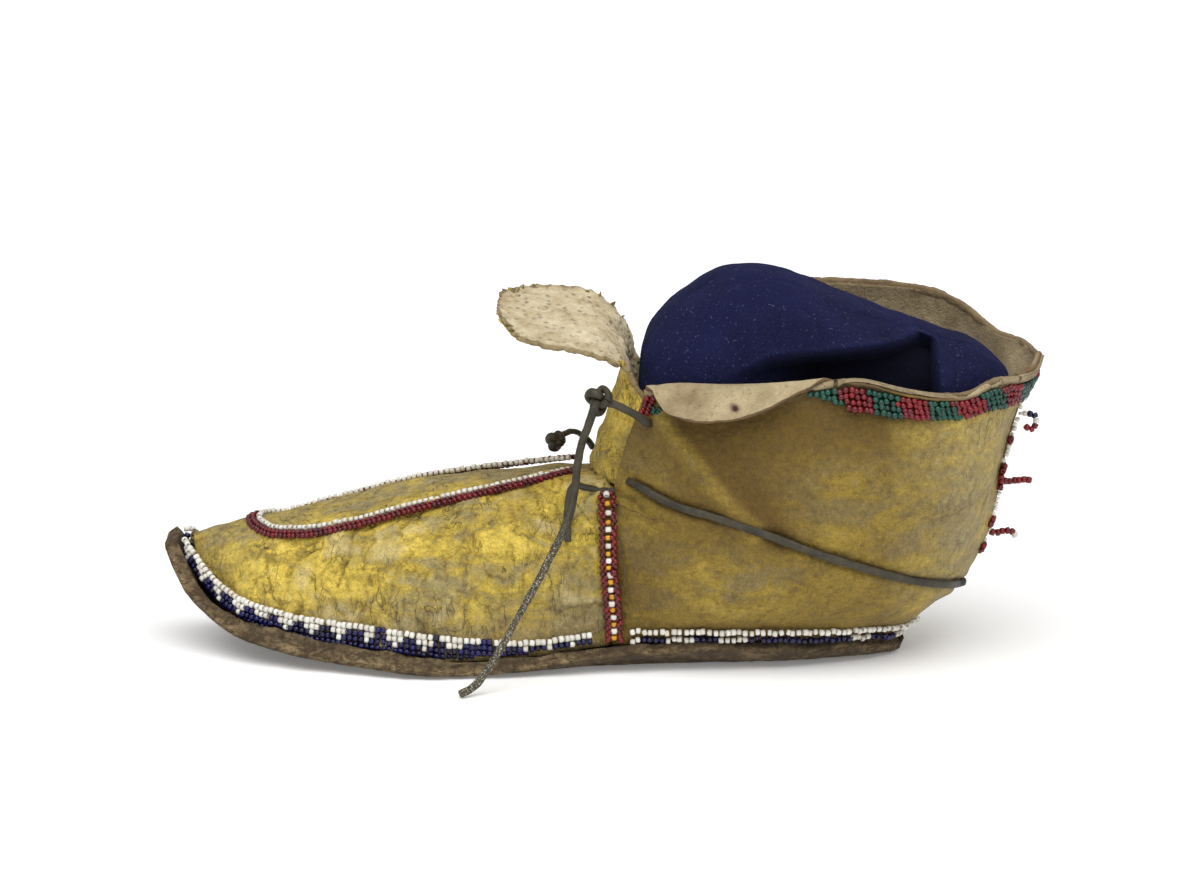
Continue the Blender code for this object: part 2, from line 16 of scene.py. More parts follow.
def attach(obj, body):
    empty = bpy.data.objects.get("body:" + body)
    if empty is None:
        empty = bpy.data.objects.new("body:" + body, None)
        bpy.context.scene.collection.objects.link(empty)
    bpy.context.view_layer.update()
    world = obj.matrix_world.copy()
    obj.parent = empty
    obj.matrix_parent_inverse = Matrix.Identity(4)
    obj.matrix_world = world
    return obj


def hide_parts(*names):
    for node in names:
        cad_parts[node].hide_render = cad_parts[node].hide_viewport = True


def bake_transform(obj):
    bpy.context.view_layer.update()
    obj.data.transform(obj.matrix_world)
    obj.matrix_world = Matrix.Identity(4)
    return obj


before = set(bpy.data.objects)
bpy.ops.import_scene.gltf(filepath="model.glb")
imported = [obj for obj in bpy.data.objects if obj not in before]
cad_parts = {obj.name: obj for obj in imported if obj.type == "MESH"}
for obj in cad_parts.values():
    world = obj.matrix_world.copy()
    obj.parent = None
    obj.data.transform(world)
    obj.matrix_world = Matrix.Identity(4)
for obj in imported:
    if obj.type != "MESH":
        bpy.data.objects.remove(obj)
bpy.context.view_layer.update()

MM = 0.001
# Clearances: between two pieces, between sole and upper, and from each quarter to the heel seam.
GAP = 0.35
SOLE_GAP = 0.9
HEEL_SEAM_GAP = 0.8
ORIGIN = np.array((0.7, -2.5, 0.0))

# Sole: stations (x, lateral edge y, medial edge y), the rise of its under side in the middle and
# at both edges, and the share of its half width that is flat.
SOLE_THICK = 4.0
SOLE_TOE_X, SOLE_HEEL_X = -150.0, 104.0
SOLE_STATIONS = (
    (-150, 8, 17), (-140, -9, 25), (-120, -25, 33), (-90, -38, 40), (-60, -45, 42),
    (-30, -44, 36), (0, -39, 31), (30, -37, 31), (60, -36.5, 33), (85, -28, 27), (104, -5, 5),
)
SOLE_FLAT = 0.45
CENTRE_RISE = (
    (-150, 34.5), (-143, 21), (-135, 12), (-125, 7), (-112, 3.2), (-98, 1), (-84, 0), (104, 0),
)
LATERAL_RISE = (
    (-150, 34.5), (-143, 22), (-133, 13.8), (-125, 9.5), (-112, 6.4), (-98, 4.4), (-80, 3),
    (-54, 1), (-28, 2), (6, 6), (68, 6), (88, 4.5), (104, 0.5),
)
MEDIAL_RISE = (
    (-150, 34.5), (-143, 27.5), (-133, 18.5), (-125, 13), (-112, 8), (-98, 5), (-80, 3),
    (-54, 1.5), (-28, 4), (6, 7), (68, 5.5), (88, 4), (104, 0.5),
)

# Upper: how far it sits in from the sole's edge, and the vamp's crest (x, y, z), fullness and
# side bulge along x.
LEATHER = 1.6
UPPER_INSET = ((-150, 5.5), (-120, 5), (-80, 4), (-30, 3), (4, 2.2), (104, 2.0))
SIDE_SEAM_X = 4.0
CREST = (
    (-146, 14, 32), (-142, 14, 35), (-137, 13, 37.2), (-122, 10, 41.8), (-103, 7, 47.2),
    (-84, 4, 52.2), (-62, 2, 57.2), (-36, 0, 61.2), (-14, -2, 63.6), (6, -3, 65.4),
)
FULLNESS = ((-150, 1.9), (-125, 2.0), (-100, 2.2), (-60, 2.5), (-20, 2.85), (6, 3.1))
SIDE_BULGE = ((-150, 0), (-110, 0.5), (-60, 1.2), (-20, 2.2), (6, 3.2))

# Quarters: rows of points from the side seam round to the heel seam, one row a level.
LATERAL_LEVELS = (
    ((30, -43, 27), (60, -44.5, 27), (90, -40, 26), (114, -24, 25), (125, 0, 25)),
    ((30, -44, 47), (62, -47, 48), (95, -44, 47), (122, -27, 46), (134, 0, 45.6)),
    ((31, -42, 63), (64, -46, 65), (98, -44, 65), (127, -28, 65), (138, 0, 66)),
    ((9, -27.5, 78), (34, -37, 81), (66, -42, 83), (100, -42, 81), (130, -28, 81), (142.2, 0, 82)),
    (
        (15, -28, 94.5), (28, -31.5, 96), (42, -34.5, 96.2), (58, -37, 97), (70, -38.5, 98.5),
        (86, -39, 100.5), (100, -39, 97.4), (113, -37, 95), (123, -33, 94.8), (131, -28, 97.8),
        (140, -19, 97.4), (146.5, -9, 98), (149.4, 0, 101.5),
    ),
)
MEDIAL_LEVELS = (
    ((30, 36, 27), (60, 40, 27), (90, 36, 26), (113, 22, 25), (125, 0, 25)),
    ((30, 38, 47), (62, 42, 48), (95, 40, 47), (121, 25, 46), (134, 0, 45.6)),
    ((31, 38, 65), (64, 42, 67), (98, 41, 67), (126, 27, 66), (138, 0, 66)),
    ((10.5, 28, 84), (34, 34, 90), (66, 38, 93), (100, 38, 92), (129, 26, 88), (142.2, 0, 82)),
    (
        (15, 28, 115), (28, 30, 117.5), (45, 33, 119.5), (70, 35, 121), (95, 34.5, 120.4),
        (113, 31.5, 118.8), (123, 27, 115.6), (131, 22, 110.4), (138, 16, 106), (145, 9, 104.6),
        (149.4, 0, 101.5),
    ),
)
# Where the lower levels meet the side seam, and the v of every level.
SEAM_HEIGHTS = (26, 45, 59.5)
LEVEL_AT = (0, 0.22, 0.42, 0.6, 0.79, 1)
FOLD_RADIUS = 1.3
FOLD_WIDTH = (
    (15, 2), (18, 3.4), (21, 7), (25, 11), (31, 14), (45, 15), (58, 11.5), (66, 6), (73, 2.2),
    (150, 1.2),
)

# Tongue: side view of its middle line (x, z, half width, sweep back at its edges).
TONGUE_THICK = 1.8
TONGUE_LINE = (
    (-3.6, 65.6, 22, 3), (0.2, 76, 23.5, 6.5), (4.2, 87, 24, 4), (7, 97, 24, 0),
    (6.4, 104.4, 25.5, 0), (1, 110.2, 28.5, 0), (-9, 113.4, 31, 0), (-20, 114.6, 30, 0),
    (-29, 115.8, 25, 1), (-35, 117.6, 14, 2.5),
)
TONGUE_TILT = 0.15

# Drawstring: a 2.7 mm hide lace, and its height on a quarter (u, z).
LACE = 2.7
LACE_ON_QUARTER = (
    (0.05, 64), (0.14, 59.5), (0.25, 55.5), (0.37, 49), (0.43, 45.5),
    (0.61, 36.5), (0.72, 31.5), (0.82, 28), (0.91, 25.2), (1, 22.5),
)
KNOT = (-0.5, -34.5, 93.5)
FREE_END = (
    (-3.6, -38.6, 86.5), (-5.6, -38.8, 81), (-7.4, -38.9, 73), (-8.4, -40.2, 64), (-11, -44.6, 54),
    (-15.6, -48.6, 45), (-21, -51.6, 35), (-26.5, -54.6, 25.5), (-32, -58, 16), (-37.4, -61.8, 8),
    (-41.6, -65, 3.2), (-46, -68.2, 1.6),
)
COLLAR_END = ((4.6, -34.6, 92), (9, -34.2, 90), (13, -33.2, 87.4), (15.2, -32.6, 85.6))

# Beads. The strands at the heel are (name, height of the root, bends of the path (out, up)).
DANGLES = (
    ("heel_dangle_upper", 81.5, ((0, 0), (2.6, -0.6), (4.4, -2.8), (4.2, -5.4))),
    ("heel_dangle_middle", 58.6, ((0, 0), (2.8, 0.2), (5.6, 0.6), (7.6, 0.2))),
    ("heel_dangle_lower", 40.6, ((0, 0), (2.8, 0.4), (5.6, 0.6), (7.4, -1.6))),
)
HEEL_BEAD = 2.2
HEEL_LEAN = math.radians(14)
SEAM_CLEAR = 0.045
SEAM_LIFT = 1.2
BAND_FOOT = 2.0
FRONT_BAND_TOP = ((-150, 8.2), (-45, 8.2), (-22, 5.8), (4, 5.6))
REAR_BAND = (0.032, 0.08)
SIDE_STRIP_SPAN = (1.9, 50.8)
RED_OUTLINE = (
    (-9, -13), (-22, -17.5), (-36, -20), (-61, -21.5), (-82, -19.5), (-104, -12), (-115, -4),
    (-119.5, 5), (-118.5, 13), (-112, 18.5), (-98, 21), (-80, 21), (-60, 20), (-36, 17),
    (-20, 13), (-9, 9),
)
FRONT_RUN = ((-8.5, -22.5), (-5, -23.8), (-1, -25), (2.4, -25.8))
KNOT_RADII = (4.2, 3.6, 5.4)
MEDIAL_END = ((-4, 27, 66), (-7, 25.4, 69), (-10, 22, 70.5), (-12, 19.4, 70.4))
MEDIAL_KNOT = (-15.4, 15.4, 68.6)
MEDIAL_KNOT_RADII = (3, 2.6, 3.6)

# Cloth filling: crown line (x, y, z), and its plan edge (x, lateral y, medial y).
FILL_CROWN = (
    (13, 0, 101), (17, 2, 111), (24, 4, 119.5), (34, 5, 127), (47, 5, 132), (62, 5, 130.5),
    (78, 6, 123.6), (98, 7, 116.6), (116, 6, 110.6), (130, 2, 105.5), (139, -1, 98),
)
FILL_EDGE = (
    (13, -11, 12), (17, -19, 19), (24, -25, 23), (34, -28.6, 26), (47, -31.6, 28.5), (64, -34, 30),
    (90, -35, 30), (106, -34, 28), (119, -28.5, 22), (130, -20, 13), (139, -8, 5),
)
FILL_RIM = ((13, 93), (24, 96), (60, 98), (90, 98), (112, 95), (139, 93))
FILL_MEDIAL_LIFT = 9.0
FILL_BOTTOM = ((13, 56), (60, 54), (104, 55), (114, 58), (122, 64), (132, 78), (139, 86))


def spline(rows):
    """A smooth function through rows of (t, value, ...), held at its end values beyond them."""
    table = np.array(rows, float)
    t, values = table[:, 0], table[:, 1:]
    slopes = np.gradient(values, t, axis=0)

    def at(x):
        x = min(max(x, t[0]), t[-1])
        i = min(int(np.searchsorted(t, x, side="right")) - 1, len(t) - 2)
        step = t[i + 1] - t[i]
        s = (x - t[i]) / step
        ends = (2 * s**3 - 3 * s**2 + 1) * values[i] + (3 * s**2 - 2 * s**3) * values[i + 1]
        turns = (s**3 - 2 * s**2 + s) * slopes[i] + (s**3 - s**2) * slopes[i + 1]
        value = ends + step * turns
        return value if len(value) > 1 else float(value[0])

    return at


def through(points):
    """A smooth curve through points, as a function of 0 to 1 that runs at an even pace."""
    points = np.array(points, float)
    steps = np.linalg.norm(np.diff(points, axis=0), axis=1)
    along = np.concatenate([[0], np.cumsum(steps)]) / steps.sum()
    return spline(np.column_stack([along, points]))


def smooth_step(x):
    x = min(max(x, 0.0), 1.0)
    return x * x * (3 - 2 * x)


# Sole ---------------------------------------------------------------------------------------

HALF_LENGTH = (SOLE_HEEL_X - SOLE_TOE_X) / 2


def turn_of(x):
    """The angle at which the sole's half circle reaches x: 0 at the toe, pi at the heel."""
    return math.acos(min(max(1 - (x - SOLE_TOE_X) / HALF_LENGTH, -1), 1))


def x_of(turn):
    return SOLE_TOE_X + HALF_LENGTH * (1 - math.cos(turn))


sole_edges = spline([(turn_of(x), lateral, medial) for x, lateral, medial in SOLE_STATIONS])
centre_rise, lateral_rise, medial_rise = map(spline, (CENTRE_RISE, LATERAL_RISE, MEDIAL_RISE))
upper_inset = spline(UPPER_INSET)


def under_side(x, across):
    """The sole's lower face at x, across from -1 at the lateral edge to 1 at the medial one."""
    lateral, medial = sole_edges(turn_of(x))
    y = lateral + (medial - lateral) * (across + 1) / 2
    edge = lateral_rise(x) if across < 0 else medial_rise(x)
    share = max(0.0, (abs(across) - SOLE_FLAT) / (1 - SOLE_FLAT)) ** 1.6
    z = centre_rise(x) + (edge - centre_rise(x)) * share
    return np.array((x, y, max(z, 0.0)))


def sole_surface(s, t):
    return under_side(x_of(math.pi * s), 2 * t - 1)


def outline(side, turn):
    """The sole's edge in plan."""
    return np.array((x_of(turn), sole_edges(turn)[0 if side < 0 else 1]))


def feather(side, turn):
    """Where the upper's lower edge stands on top of the sole, at this turn of the outline."""
    step = 0.01
    low, high = max(turn - step, 0), min(turn + step, math.pi)
    along = outline(side, high) - outline(side, low)
    inward = np.array((-along[1], along[0])) * -side
    x, y = outline(side, turn) + inward / np.linalg.norm(inward) * upper_inset(x_of(turn))
    return on_sole_top(x, y)


def on_sole_top(x, y):
    """The point on which the upper stands, just above the sole."""
    lateral, medial = sole_edges(turn_of(x))
    across = min(max(2 * (y - lateral) / (medial - lateral) - 1, -1), 1)
    step = 0.5
    width = 2 * step / (medial - lateral)
    along = under_side(x + step, across) - under_side(x - step, across)
    sideways = under_side(x, min(across + width, 1)) - under_side(x, max(across - width, -1))
    normal = np.cross(along, sideways)
    return under_side(x, across) + normal / np.linalg.norm(normal) * (SOLE_THICK + SOLE_GAP)


# Upper --------------------------------------------------------------------------------------

crest = spline(CREST)
fullness = spline(FULLNESS)
side_bulge = spline(SIDE_BULGE)
SEAM_TURN = turn_of(SIDE_SEAM_X)


def vamp_section(turn, t):
    """The vamp at one turn of the outline: t runs from -1, lateral, over the crest to 1, medial."""
    side = -1 if t < 0 else 1
    foot = feather(side, turn)
    middle_x = (feather(-1, turn)[0] + feather(1, turn)[0]) / 2
    crest_y, crest_z = crest(middle_x)
    angle = math.pi / 2 * (1 - abs(t))
    power = 2 / fullness(middle_x)
    out = math.cos(angle) ** power if angle < math.pi / 2 - 1e-6 else 0.0
    up = math.sin(angle) ** power if angle > 1e-6 else 0.0
    y = crest_y + (foot[1] - crest_y) * out + side * side_bulge(middle_x) * math.sin(2 * angle)
    x = middle_x + (foot[0] - middle_x) * out
    return np.array((x, y, foot[2] + (crest_z - foot[2]) * up))


def vamp_t(turn, side, height):
    """The t at which the vamp stands this high over its feather line."""
    foot, middle_x = feather(side, turn), (feather(-1, turn)[0] + feather(1, turn)[0]) / 2
    share = min(height / (crest(middle_x)[1] - foot[2]), 1)
    return side * (1 - math.asin(share ** (fullness(middle_x) / 2)) / (math.pi / 2))


def halved(is_low):
    """The place between 0 and 1 up to which a test holds."""
    low, high = 0.0, 1.0
    for _ in range(30):
        middle = (low + high) / 2
        if is_low(middle):
            low = middle
        else:
            high = middle
    return low


def seam_point(side, height):
    """Where the vamp's rear edge reaches this height."""
    t = side * halved(lambda t: vamp_section(SEAM_TURN, side * t)[2] > height)
    return (SIDE_SEAM_X + GAP, vamp_section(SEAM_TURN, t)[1], height)


def quarter(side):
    """A quarter's outer face: u from the side seam to the heel seam, v from sole to rim."""
    levels = LATERAL_LEVELS if side < 0 else MEDIAL_LEVELS
    turns = np.linspace(SEAM_TURN, turn_of(97), 6)
    rows = [[feather(side, turn) for turn in turns] + [on_sole_top(101.8, 0)]]
    rows[0][0][0] = SIDE_SEAM_X + GAP
    rows += [[seam_point(side, z), *row] for z, row in zip(SEAM_HEIGHTS, levels)]
    rows += [list(row) for row in levels[3:]]
    curves = [through(row) for row in rows]

    def at(u, v):
        points = np.array([curve(u) for curve in curves])
        point = spline(np.column_stack([LEVEL_AT, points]))(v)
        if side * point[1] < HEEL_SEAM_GAP:
            point[1] = side * HEEL_SEAM_GAP
        return point

    return at


lateral, medial = quarter(-1), quarter(1)
fold_width = spline(FOLD_WIDTH)


def folded_rim(u, v):
    """The lateral quarter, whose rim carries on over a tight roll and hangs down outside."""
    if v <= 1:
        return lateral(u, v)
    rim, below = lateral(u, 1), lateral(u, 0.97)
    along = lateral(min(u + 0.01, 1), 1) - lateral(max(u - 0.01, 0), 1)
    out = np.array((along[1], -along[0], 0))
    out /= np.linalg.norm(out)
    up = (rim - below) / np.linalg.norm(rim - below)
    length = fold_width(rim[0]) * (v - 1)
    half_turn = math.radians(150)
    angle = min(length / FOLD_RADIUS, half_turn)
    rest = length - angle * FOLD_RADIUS
    sideways = FOLD_RADIUS * (1 - math.cos(angle)) + rest * math.sin(angle)
    rise = FOLD_RADIUS * math.sin(angle) + rest * math.cos(angle)
    return rim + out * sideways + up * rise


def normal_at(surface, u, v, step=0.004):
    """The unit normal of a surface that points away from the foot."""
    across_u = surface(u + step, v) - surface(u - step, v)
    across_v = surface(u, v + step) - surface(u, v - step)
    normal = np.cross(across_u, across_v)
    normal /= np.linalg.norm(normal)
    return normal if normal @ outwards(surface(u, v)) > 0 else -normal


def at_height(surface, u, height):
    """The v at which a surface reaches this height, for one u."""
    return halved(lambda v: surface(u, v)[2] < height)


tongue_line = spline([(i, *row) for i, row in enumerate(TONGUE_LINE)])


def tongue_surface(s, t):
    """The tongue's front face, which its curl turns downwards: s from the seam to the tip."""
    x, z, half, sweep = tongue_line(s)
    y = half * t
    tilt = TONGUE_TILT * smooth_step((s - 2) / 3)
    return np.array((x + sweep * t * t, y, z + tilt * y))


front_band_top = spline(FRONT_BAND_TOP)


def heel_line(v):
    """The heel seam's outer edge, halfway between the two quarters."""
    point = (lateral(1, v) + medial(1, v)) / 2
    point[1] = 0
    return point


def heel_v(height):
    """The v at which the heel seam reaches this height."""
    return at_height(lambda _, v: heel_line(v), 1, height)


fill_crown, fill_edge = spline(FILL_CROWN), spline(FILL_EDGE)
fill_rim, fill_bottom = spline(FILL_RIM), spline(FILL_BOTTOM)


def fill_top(x, across):
    """The bundle's upper face: a crown that falls off to the collar on both sides."""
    crown_y, crown_z = fill_crown(x)
    low, high = fill_edge(x)
    y = low + (high - low) * (across + 1) / 2
    rim = fill_rim(x)
    if y < crown_y:
        share = (crown_y - y) / (crown_y - low)
    else:
        share = (y - crown_y) / (high - crown_y)
        rim += FILL_MEDIAL_LIFT * smooth_step((118 - x) / 60)
    return np.array((x, y, rim + (crown_z - rim) * max(1 - share**2.4, 0) ** 0.62))


# Points, grids and meshes --------------------------------------------------------------------


def placed(points):
    """Points of the drawing, in the row frame and in metres."""
    return (np.asarray(points, float) - ORIGIN) * MM


def unit(vectors):
    lengths = np.linalg.norm(vectors, axis=-1, keepdims=True)
    return vectors / np.maximum(lengths, 1e-12)


def outwards(points):
    """Directions from the middle of the foot to points, which say which side is outside."""
    x, y, z = points[..., 0], points[..., 1], points[..., 2]
    return np.stack([x - np.clip(x, -110, 70), y - 1, z - 25], axis=-1)


class Patch:
    """A surface sampled once on a grid and read between its samples by smooth interpolation."""

    def __init__(self, surface, u_range, v_range, cells):
        us, vs = np.linspace(*u_range, cells[0]), np.linspace(*v_range, cells[1])
        grid = np.array([[surface(u, v) for v in vs] for u in us])
        grid = np.concatenate([2 * grid[:1] - grid[1:2], grid, 2 * grid[-1:] - grid[-2:-1]])
        left, right = 2 * grid[:, :1] - grid[:, 1:2], 2 * grid[:, -1:] - grid[:, -2:-1]
        self.grid = np.concatenate([left, grid, right], axis=1)
        self.u_range, self.v_range, self.cells = u_range, v_range, cells

    def at(self, u, v):
        u, v = np.broadcast_arrays(np.asarray(u, float), np.asarray(v, float))
        places, weights = [], []
        for value, (low, high), count in zip((u, v), (self.u_range, self.v_range), self.cells):
            spot = np.clip((value - low) / (high - low), 0, 1) * (count - 1)
            base = np.minimum(spot.astype(int), count - 2)
            s = spot - base
            places.append(base)
            weights.append(
                (
                    (-(s**3) + 2 * s**2 - s) / 2,
                    (3 * s**3 - 5 * s**2 + 2) / 2,
                    (-3 * s**3 + 4 * s**2 + s) / 2,
                    (s**3 - s**2) / 2,
                )
            )
        total = 0
        for i in range(4):
            for j in range(4):
                weight = (weights[0][i] * weights[1][j])[..., None]
                total = total + weight * self.grid[places[0] + i, places[1] + j]
        return total

    def normal(self, u, v):
        """The unit normal that points away from the foot."""
        u, v = np.broadcast_arrays(np.asarray(u, float), np.asarray(v, float))
        du = (self.u_range[1] - self.u_range[0]) * 0.004
        dv = (self.v_range[1] - self.v_range[0]) * 0.004
        along = self.at(u + du, v) - self.at(u - du, v)
        across = self.at(u, v + dv) - self.at(u, v - dv)
        normal = unit(np.cross(along, across))
        middle = (slice(None),) * (u.ndim - 1)
        facing = (normal * outwards(self.at(u, v)))[middle].sum()
        return normal if facing > 0 else -normal


def lattice(cell, seed):
    """A repeatable random number from -1 to 1 for each whole-numbered cell."""
    value = cell[..., 0] * 374761393 + cell[..., 1] * 668265263 + cell[..., 2] * 2246822519
    value = (value + seed * 3266489917) & 0xFFFFFFFF
    value = ((value ^ (value >> 13)) * 1274126177) & 0xFFFFFFFF
    return ((value ^ (value >> 16)) & 0xFFFF) / 32767.5 - 1


def noise(points, size, seed=0):
    """Smooth noise from -1 to 1, whose lumps are about size across."""
    spots = np.asarray(points, float) / size
    base = np.floor(spots).astype(np.int64)
    part = spots - base
    ease = part**3 * (part * (part * 6 - 15) + 10)
    total = 0
    for corner in np.ndindex(2, 2, 2):
        weight = np.prod(np.where(corner, ease, 1 - ease), axis=-1)
        total = total + weight * lattice(base + np.array(corner), seed)
    return total


def rough(points, size, octaves=4, seed=0):
    """Several layers of noise, each half the size and half the height of the last."""
    return sum(noise(points, size / 2**i, seed + i) / 2**i for i in range(octaves))


def ramp(value, start, end):
    """0 up to start and 1 from end on, in a straight line between; end may be the lower one."""
    return np.clip((value - start) / (end - start), 0, 1)


def bell(distance, width):
    return np.exp(-((distance / width) ** 2))


def grid_faces(rows, columns, around=False):
    index = np.arange(rows * columns).reshape(rows, columns)
    if around:
        index = np.concatenate([index, index[:, :1]], axis=1)
    quads = np.stack([index[:-1, :-1], index[1:, :-1], index[1:, 1:], index[:-1, 1:]], axis=-1)
    return quads.reshape(-1, 4)


def linked(name, data):
    obj = bpy.data.objects.new(name, data)
    bpy.context.scene.collection.objects.link(obj)
    return obj


def new_mesh(name, points, faces, materials=(), slots=None, values=None):
    """An object from arrays: points in the drawing, faces of one size, values for each point."""
    mesh = bpy.data.meshes.new(name)
    faces = np.asarray(faces)
    mesh.vertices.add(len(points))
    mesh.vertices.foreach_set("co", placed(points).ravel())
    mesh.loops.add(faces.size)
    mesh.loops.foreach_set("vertex_index", faces.ravel())
    mesh.polygons.add(len(faces))
    size = faces.shape[1]
    mesh.polygons.foreach_set("loop_start", np.arange(0, faces.size, size))
    if slots is not None:
        mesh.polygons.foreach_set("material_index", slots)
    for material in materials:
        mesh.materials.append(material)
    for key, value in (values or {}).items():
        layer = mesh.attributes.new(key, "FLOAT", "POINT")
        layer.data.foreach_set("value", np.asarray(value, np.float32).ravel())
    mesh.update(calc_edges=True)
    mesh.validate()
    mesh.shade_smooth()
    return linked(name, mesh)


def outward_faces(points, normals):
    """The faces of a grid of points, turned to look the way of its normals."""
    faces = grid_faces(*points.shape[:2])
    a, b, c = (points.reshape(-1, 3)[faces[:, i]] for i in (0, 1, 2))
    facing = (np.cross(b - a, c - a) * normals.reshape(-1, 3)[faces[:, 0]]).sum()
    return faces[:, ::-1] if facing < 0 else faces


def border_of(cells):
    """The indices round the edge of a grid of points, in order."""
    index = np.arange(cells[0] * cells[1]).reshape(cells)
    return np.concatenate([index[0], index[1:, -1], index[-1, -2::-1], index[-2:0:-1, 0]])


def wall(low, high):
    """The faces between two closed rows of indices."""
    return np.stack([low, np.roll(low, -1), np.roll(high, -1), high], axis=-1)


def turn_outwards(obj, capped=False):
    """Turns the faces of a closed object outwards, after its open ends are capped."""
    work = bmesh.new()
    work.from_mesh(obj.data)
    if capped:
        bmesh.ops.holes_fill(work, edges=[edge for edge in work.edges if edge.is_boundary])
    bmesh.ops.recalc_face_normals(work, faces=work.faces)
    work.to_mesh(obj.data)
    work.free()


def thicken(obj, thickness, even):
    """Thickens a sheet inwards; its second and third material go inside and on the cut edge."""
    thick = obj.modifiers.new("thickness", "SOLIDIFY")
    thick.thickness = thickness * MM
    thick.offset = -1
    thick.material_offset = 1
    thick.material_offset_rim = 2
    thick.use_quality_normals = even


def even_steps(path, pitch):
    """The places along a polyline, as fractional indices, that are one pitch apart."""
    along = np.concatenate([[0], np.cumsum(np.linalg.norm(np.diff(path, axis=0), axis=1))])
    count = max(int(round(along[-1] / pitch)), 1)
    stops = (np.arange(count) + 0.5) * along[-1] / count
    return np.interp(stops, along, np.arange(len(path)))


def read_path(path, spots):
    """Points and unit directions of a polyline at fractional indices."""
    index = np.arange(len(path))
    points = np.stack([np.interp(spots, index, path[:, k]) for k in range(3)], axis=-1)
    ahead = np.stack([np.interp(spots + 0.5, index, path[:, k]) for k in range(3)], axis=-1)
    behind = np.stack([np.interp(spots - 0.5, index, path[:, k]) for k in range(3)], axis=-1)
    return points, unit(ahead - behind)


def smooth_path(points, count):
    curve = through(points)
    return np.array([curve(i / (count - 1)) for i in range(count)])


# Materials -----------------------------------------------------------------------------------


def srgb(red, green, blue):
    """A colour as a screen shows it (0 to 255), in the linear values that a shader takes."""
    values = np.array((red, green, blue)) / 255
    linear = np.where(values <= 0.04045, values / 12.92, ((values + 0.055) / 1.055) ** 2.4)
    return (*linear.tolist(), 1)


class Surface:
    """A small builder for node materials."""

    def __init__(self, name, roughness=0.8, **settings):
        self.material = bpy.data.materials.new(name)
        self.material.use_nodes = True
        self.tree = self.material.node_tree
        self.shader = self.tree.nodes["Principled BSDF"]
        self.set("Roughness", roughness)
        for key, value in settings.items():
            self.set(key.replace("_", " ").title().replace("Ior", "IOR"), value)
        self.place = self.tree.nodes.new("ShaderNodeTexCoord").outputs["Object"]

    def set(self, socket, value):
        target = self.shader.inputs[socket]
        if isinstance(value, bpy.types.NodeSocket):
            self.tree.links.new(value, target)
        else:
            target.default_value = value

    def node(self, kind, inputs=(), **settings):
        made = self.tree.nodes.new(f"ShaderNode{kind}")
        for key, value in settings.items():
            setattr(made, key, value)
        for key, value in dict(inputs).items():
            if isinstance(value, bpy.types.NodeSocket):
                self.tree.links.new(value, made.inputs[key])
            else:
                made.inputs[key].default_value = value
        return made

    def noise(self, size, detail=4, roughness=0.55, stretch=(1, 1, 1), distortion=0.0):
        """Noise with lumps of about this many millimetres, longer along the axes of a stretch."""
        scale = [1 / (size * MM * s) for s in stretch]
        moved = self.node("Mapping", {"Vector": self.place, "Scale": scale}).outputs[0]
        inputs = {"Detail": detail, "Roughness": roughness, "Distortion": distortion}
        return self.node("TexNoise", {"Vector": moved, "Scale": 1, **inputs}).outputs["Fac"]

    def cells(self, size, feature="F1"):
        inputs = {"Vector": self.place, "Scale": 1 / (size * MM)}
        return self.node("TexVoronoi", inputs, feature=feature).outputs["Distance"]

    def value(self, name):
        return self.node("Attribute", attribute_name=name).outputs["Fac"]

    def math(self, operation, a, b=0.0):
        made = self.node("Math", {0: a, 1: b}, operation=operation)
        return made.outputs[0]

    def span(self, value, low, high, to_low=0.0, to_high=1.0):
        ends = {"From Min": low, "From Max": high, "To Min": to_low, "To Max": to_high}
        return self.node("MapRange", {"Value": value, **ends}).outputs["Result"]

    def mix(self, share, a, b, blend_type="MIX"):
        made = self.node("Mix", data_type="RGBA", blend_type=blend_type)
        for index, value in ((0, share), (6, a), (7, b)):
            if isinstance(value, bpy.types.NodeSocket):
                self.tree.links.new(value, made.inputs[index])
            else:
                made.inputs[index].default_value = value
        return made.outputs[2]

    def paint(self, share, colour, dark=None):
        """Lays a share of a colour over what is there, or mixes the first two colours."""
        under, over = (self.colour, colour) if dark is None else (srgb(*colour), dark)
        self.colour = self.mix(share, under, srgb(*over))

    def shade(self, value):
        """Multiplies the colour by a value."""
        grey = self.node("CombineColor", {"Red": value, "Green": value, "Blue": value}).outputs[0]
        self.colour = self.mix(1.0, self.colour, grey, "MULTIPLY")

    def bump(self, height, depth, normal=None):
        """Bump of this many millimetres; normal chains a coarser one."""
        inputs = {"Height": height, "Distance": depth * MM, "Strength": 1.0}
        if normal is not None:
            inputs["Normal"] = normal
        return self.node("Bump", inputs).outputs["Normal"]


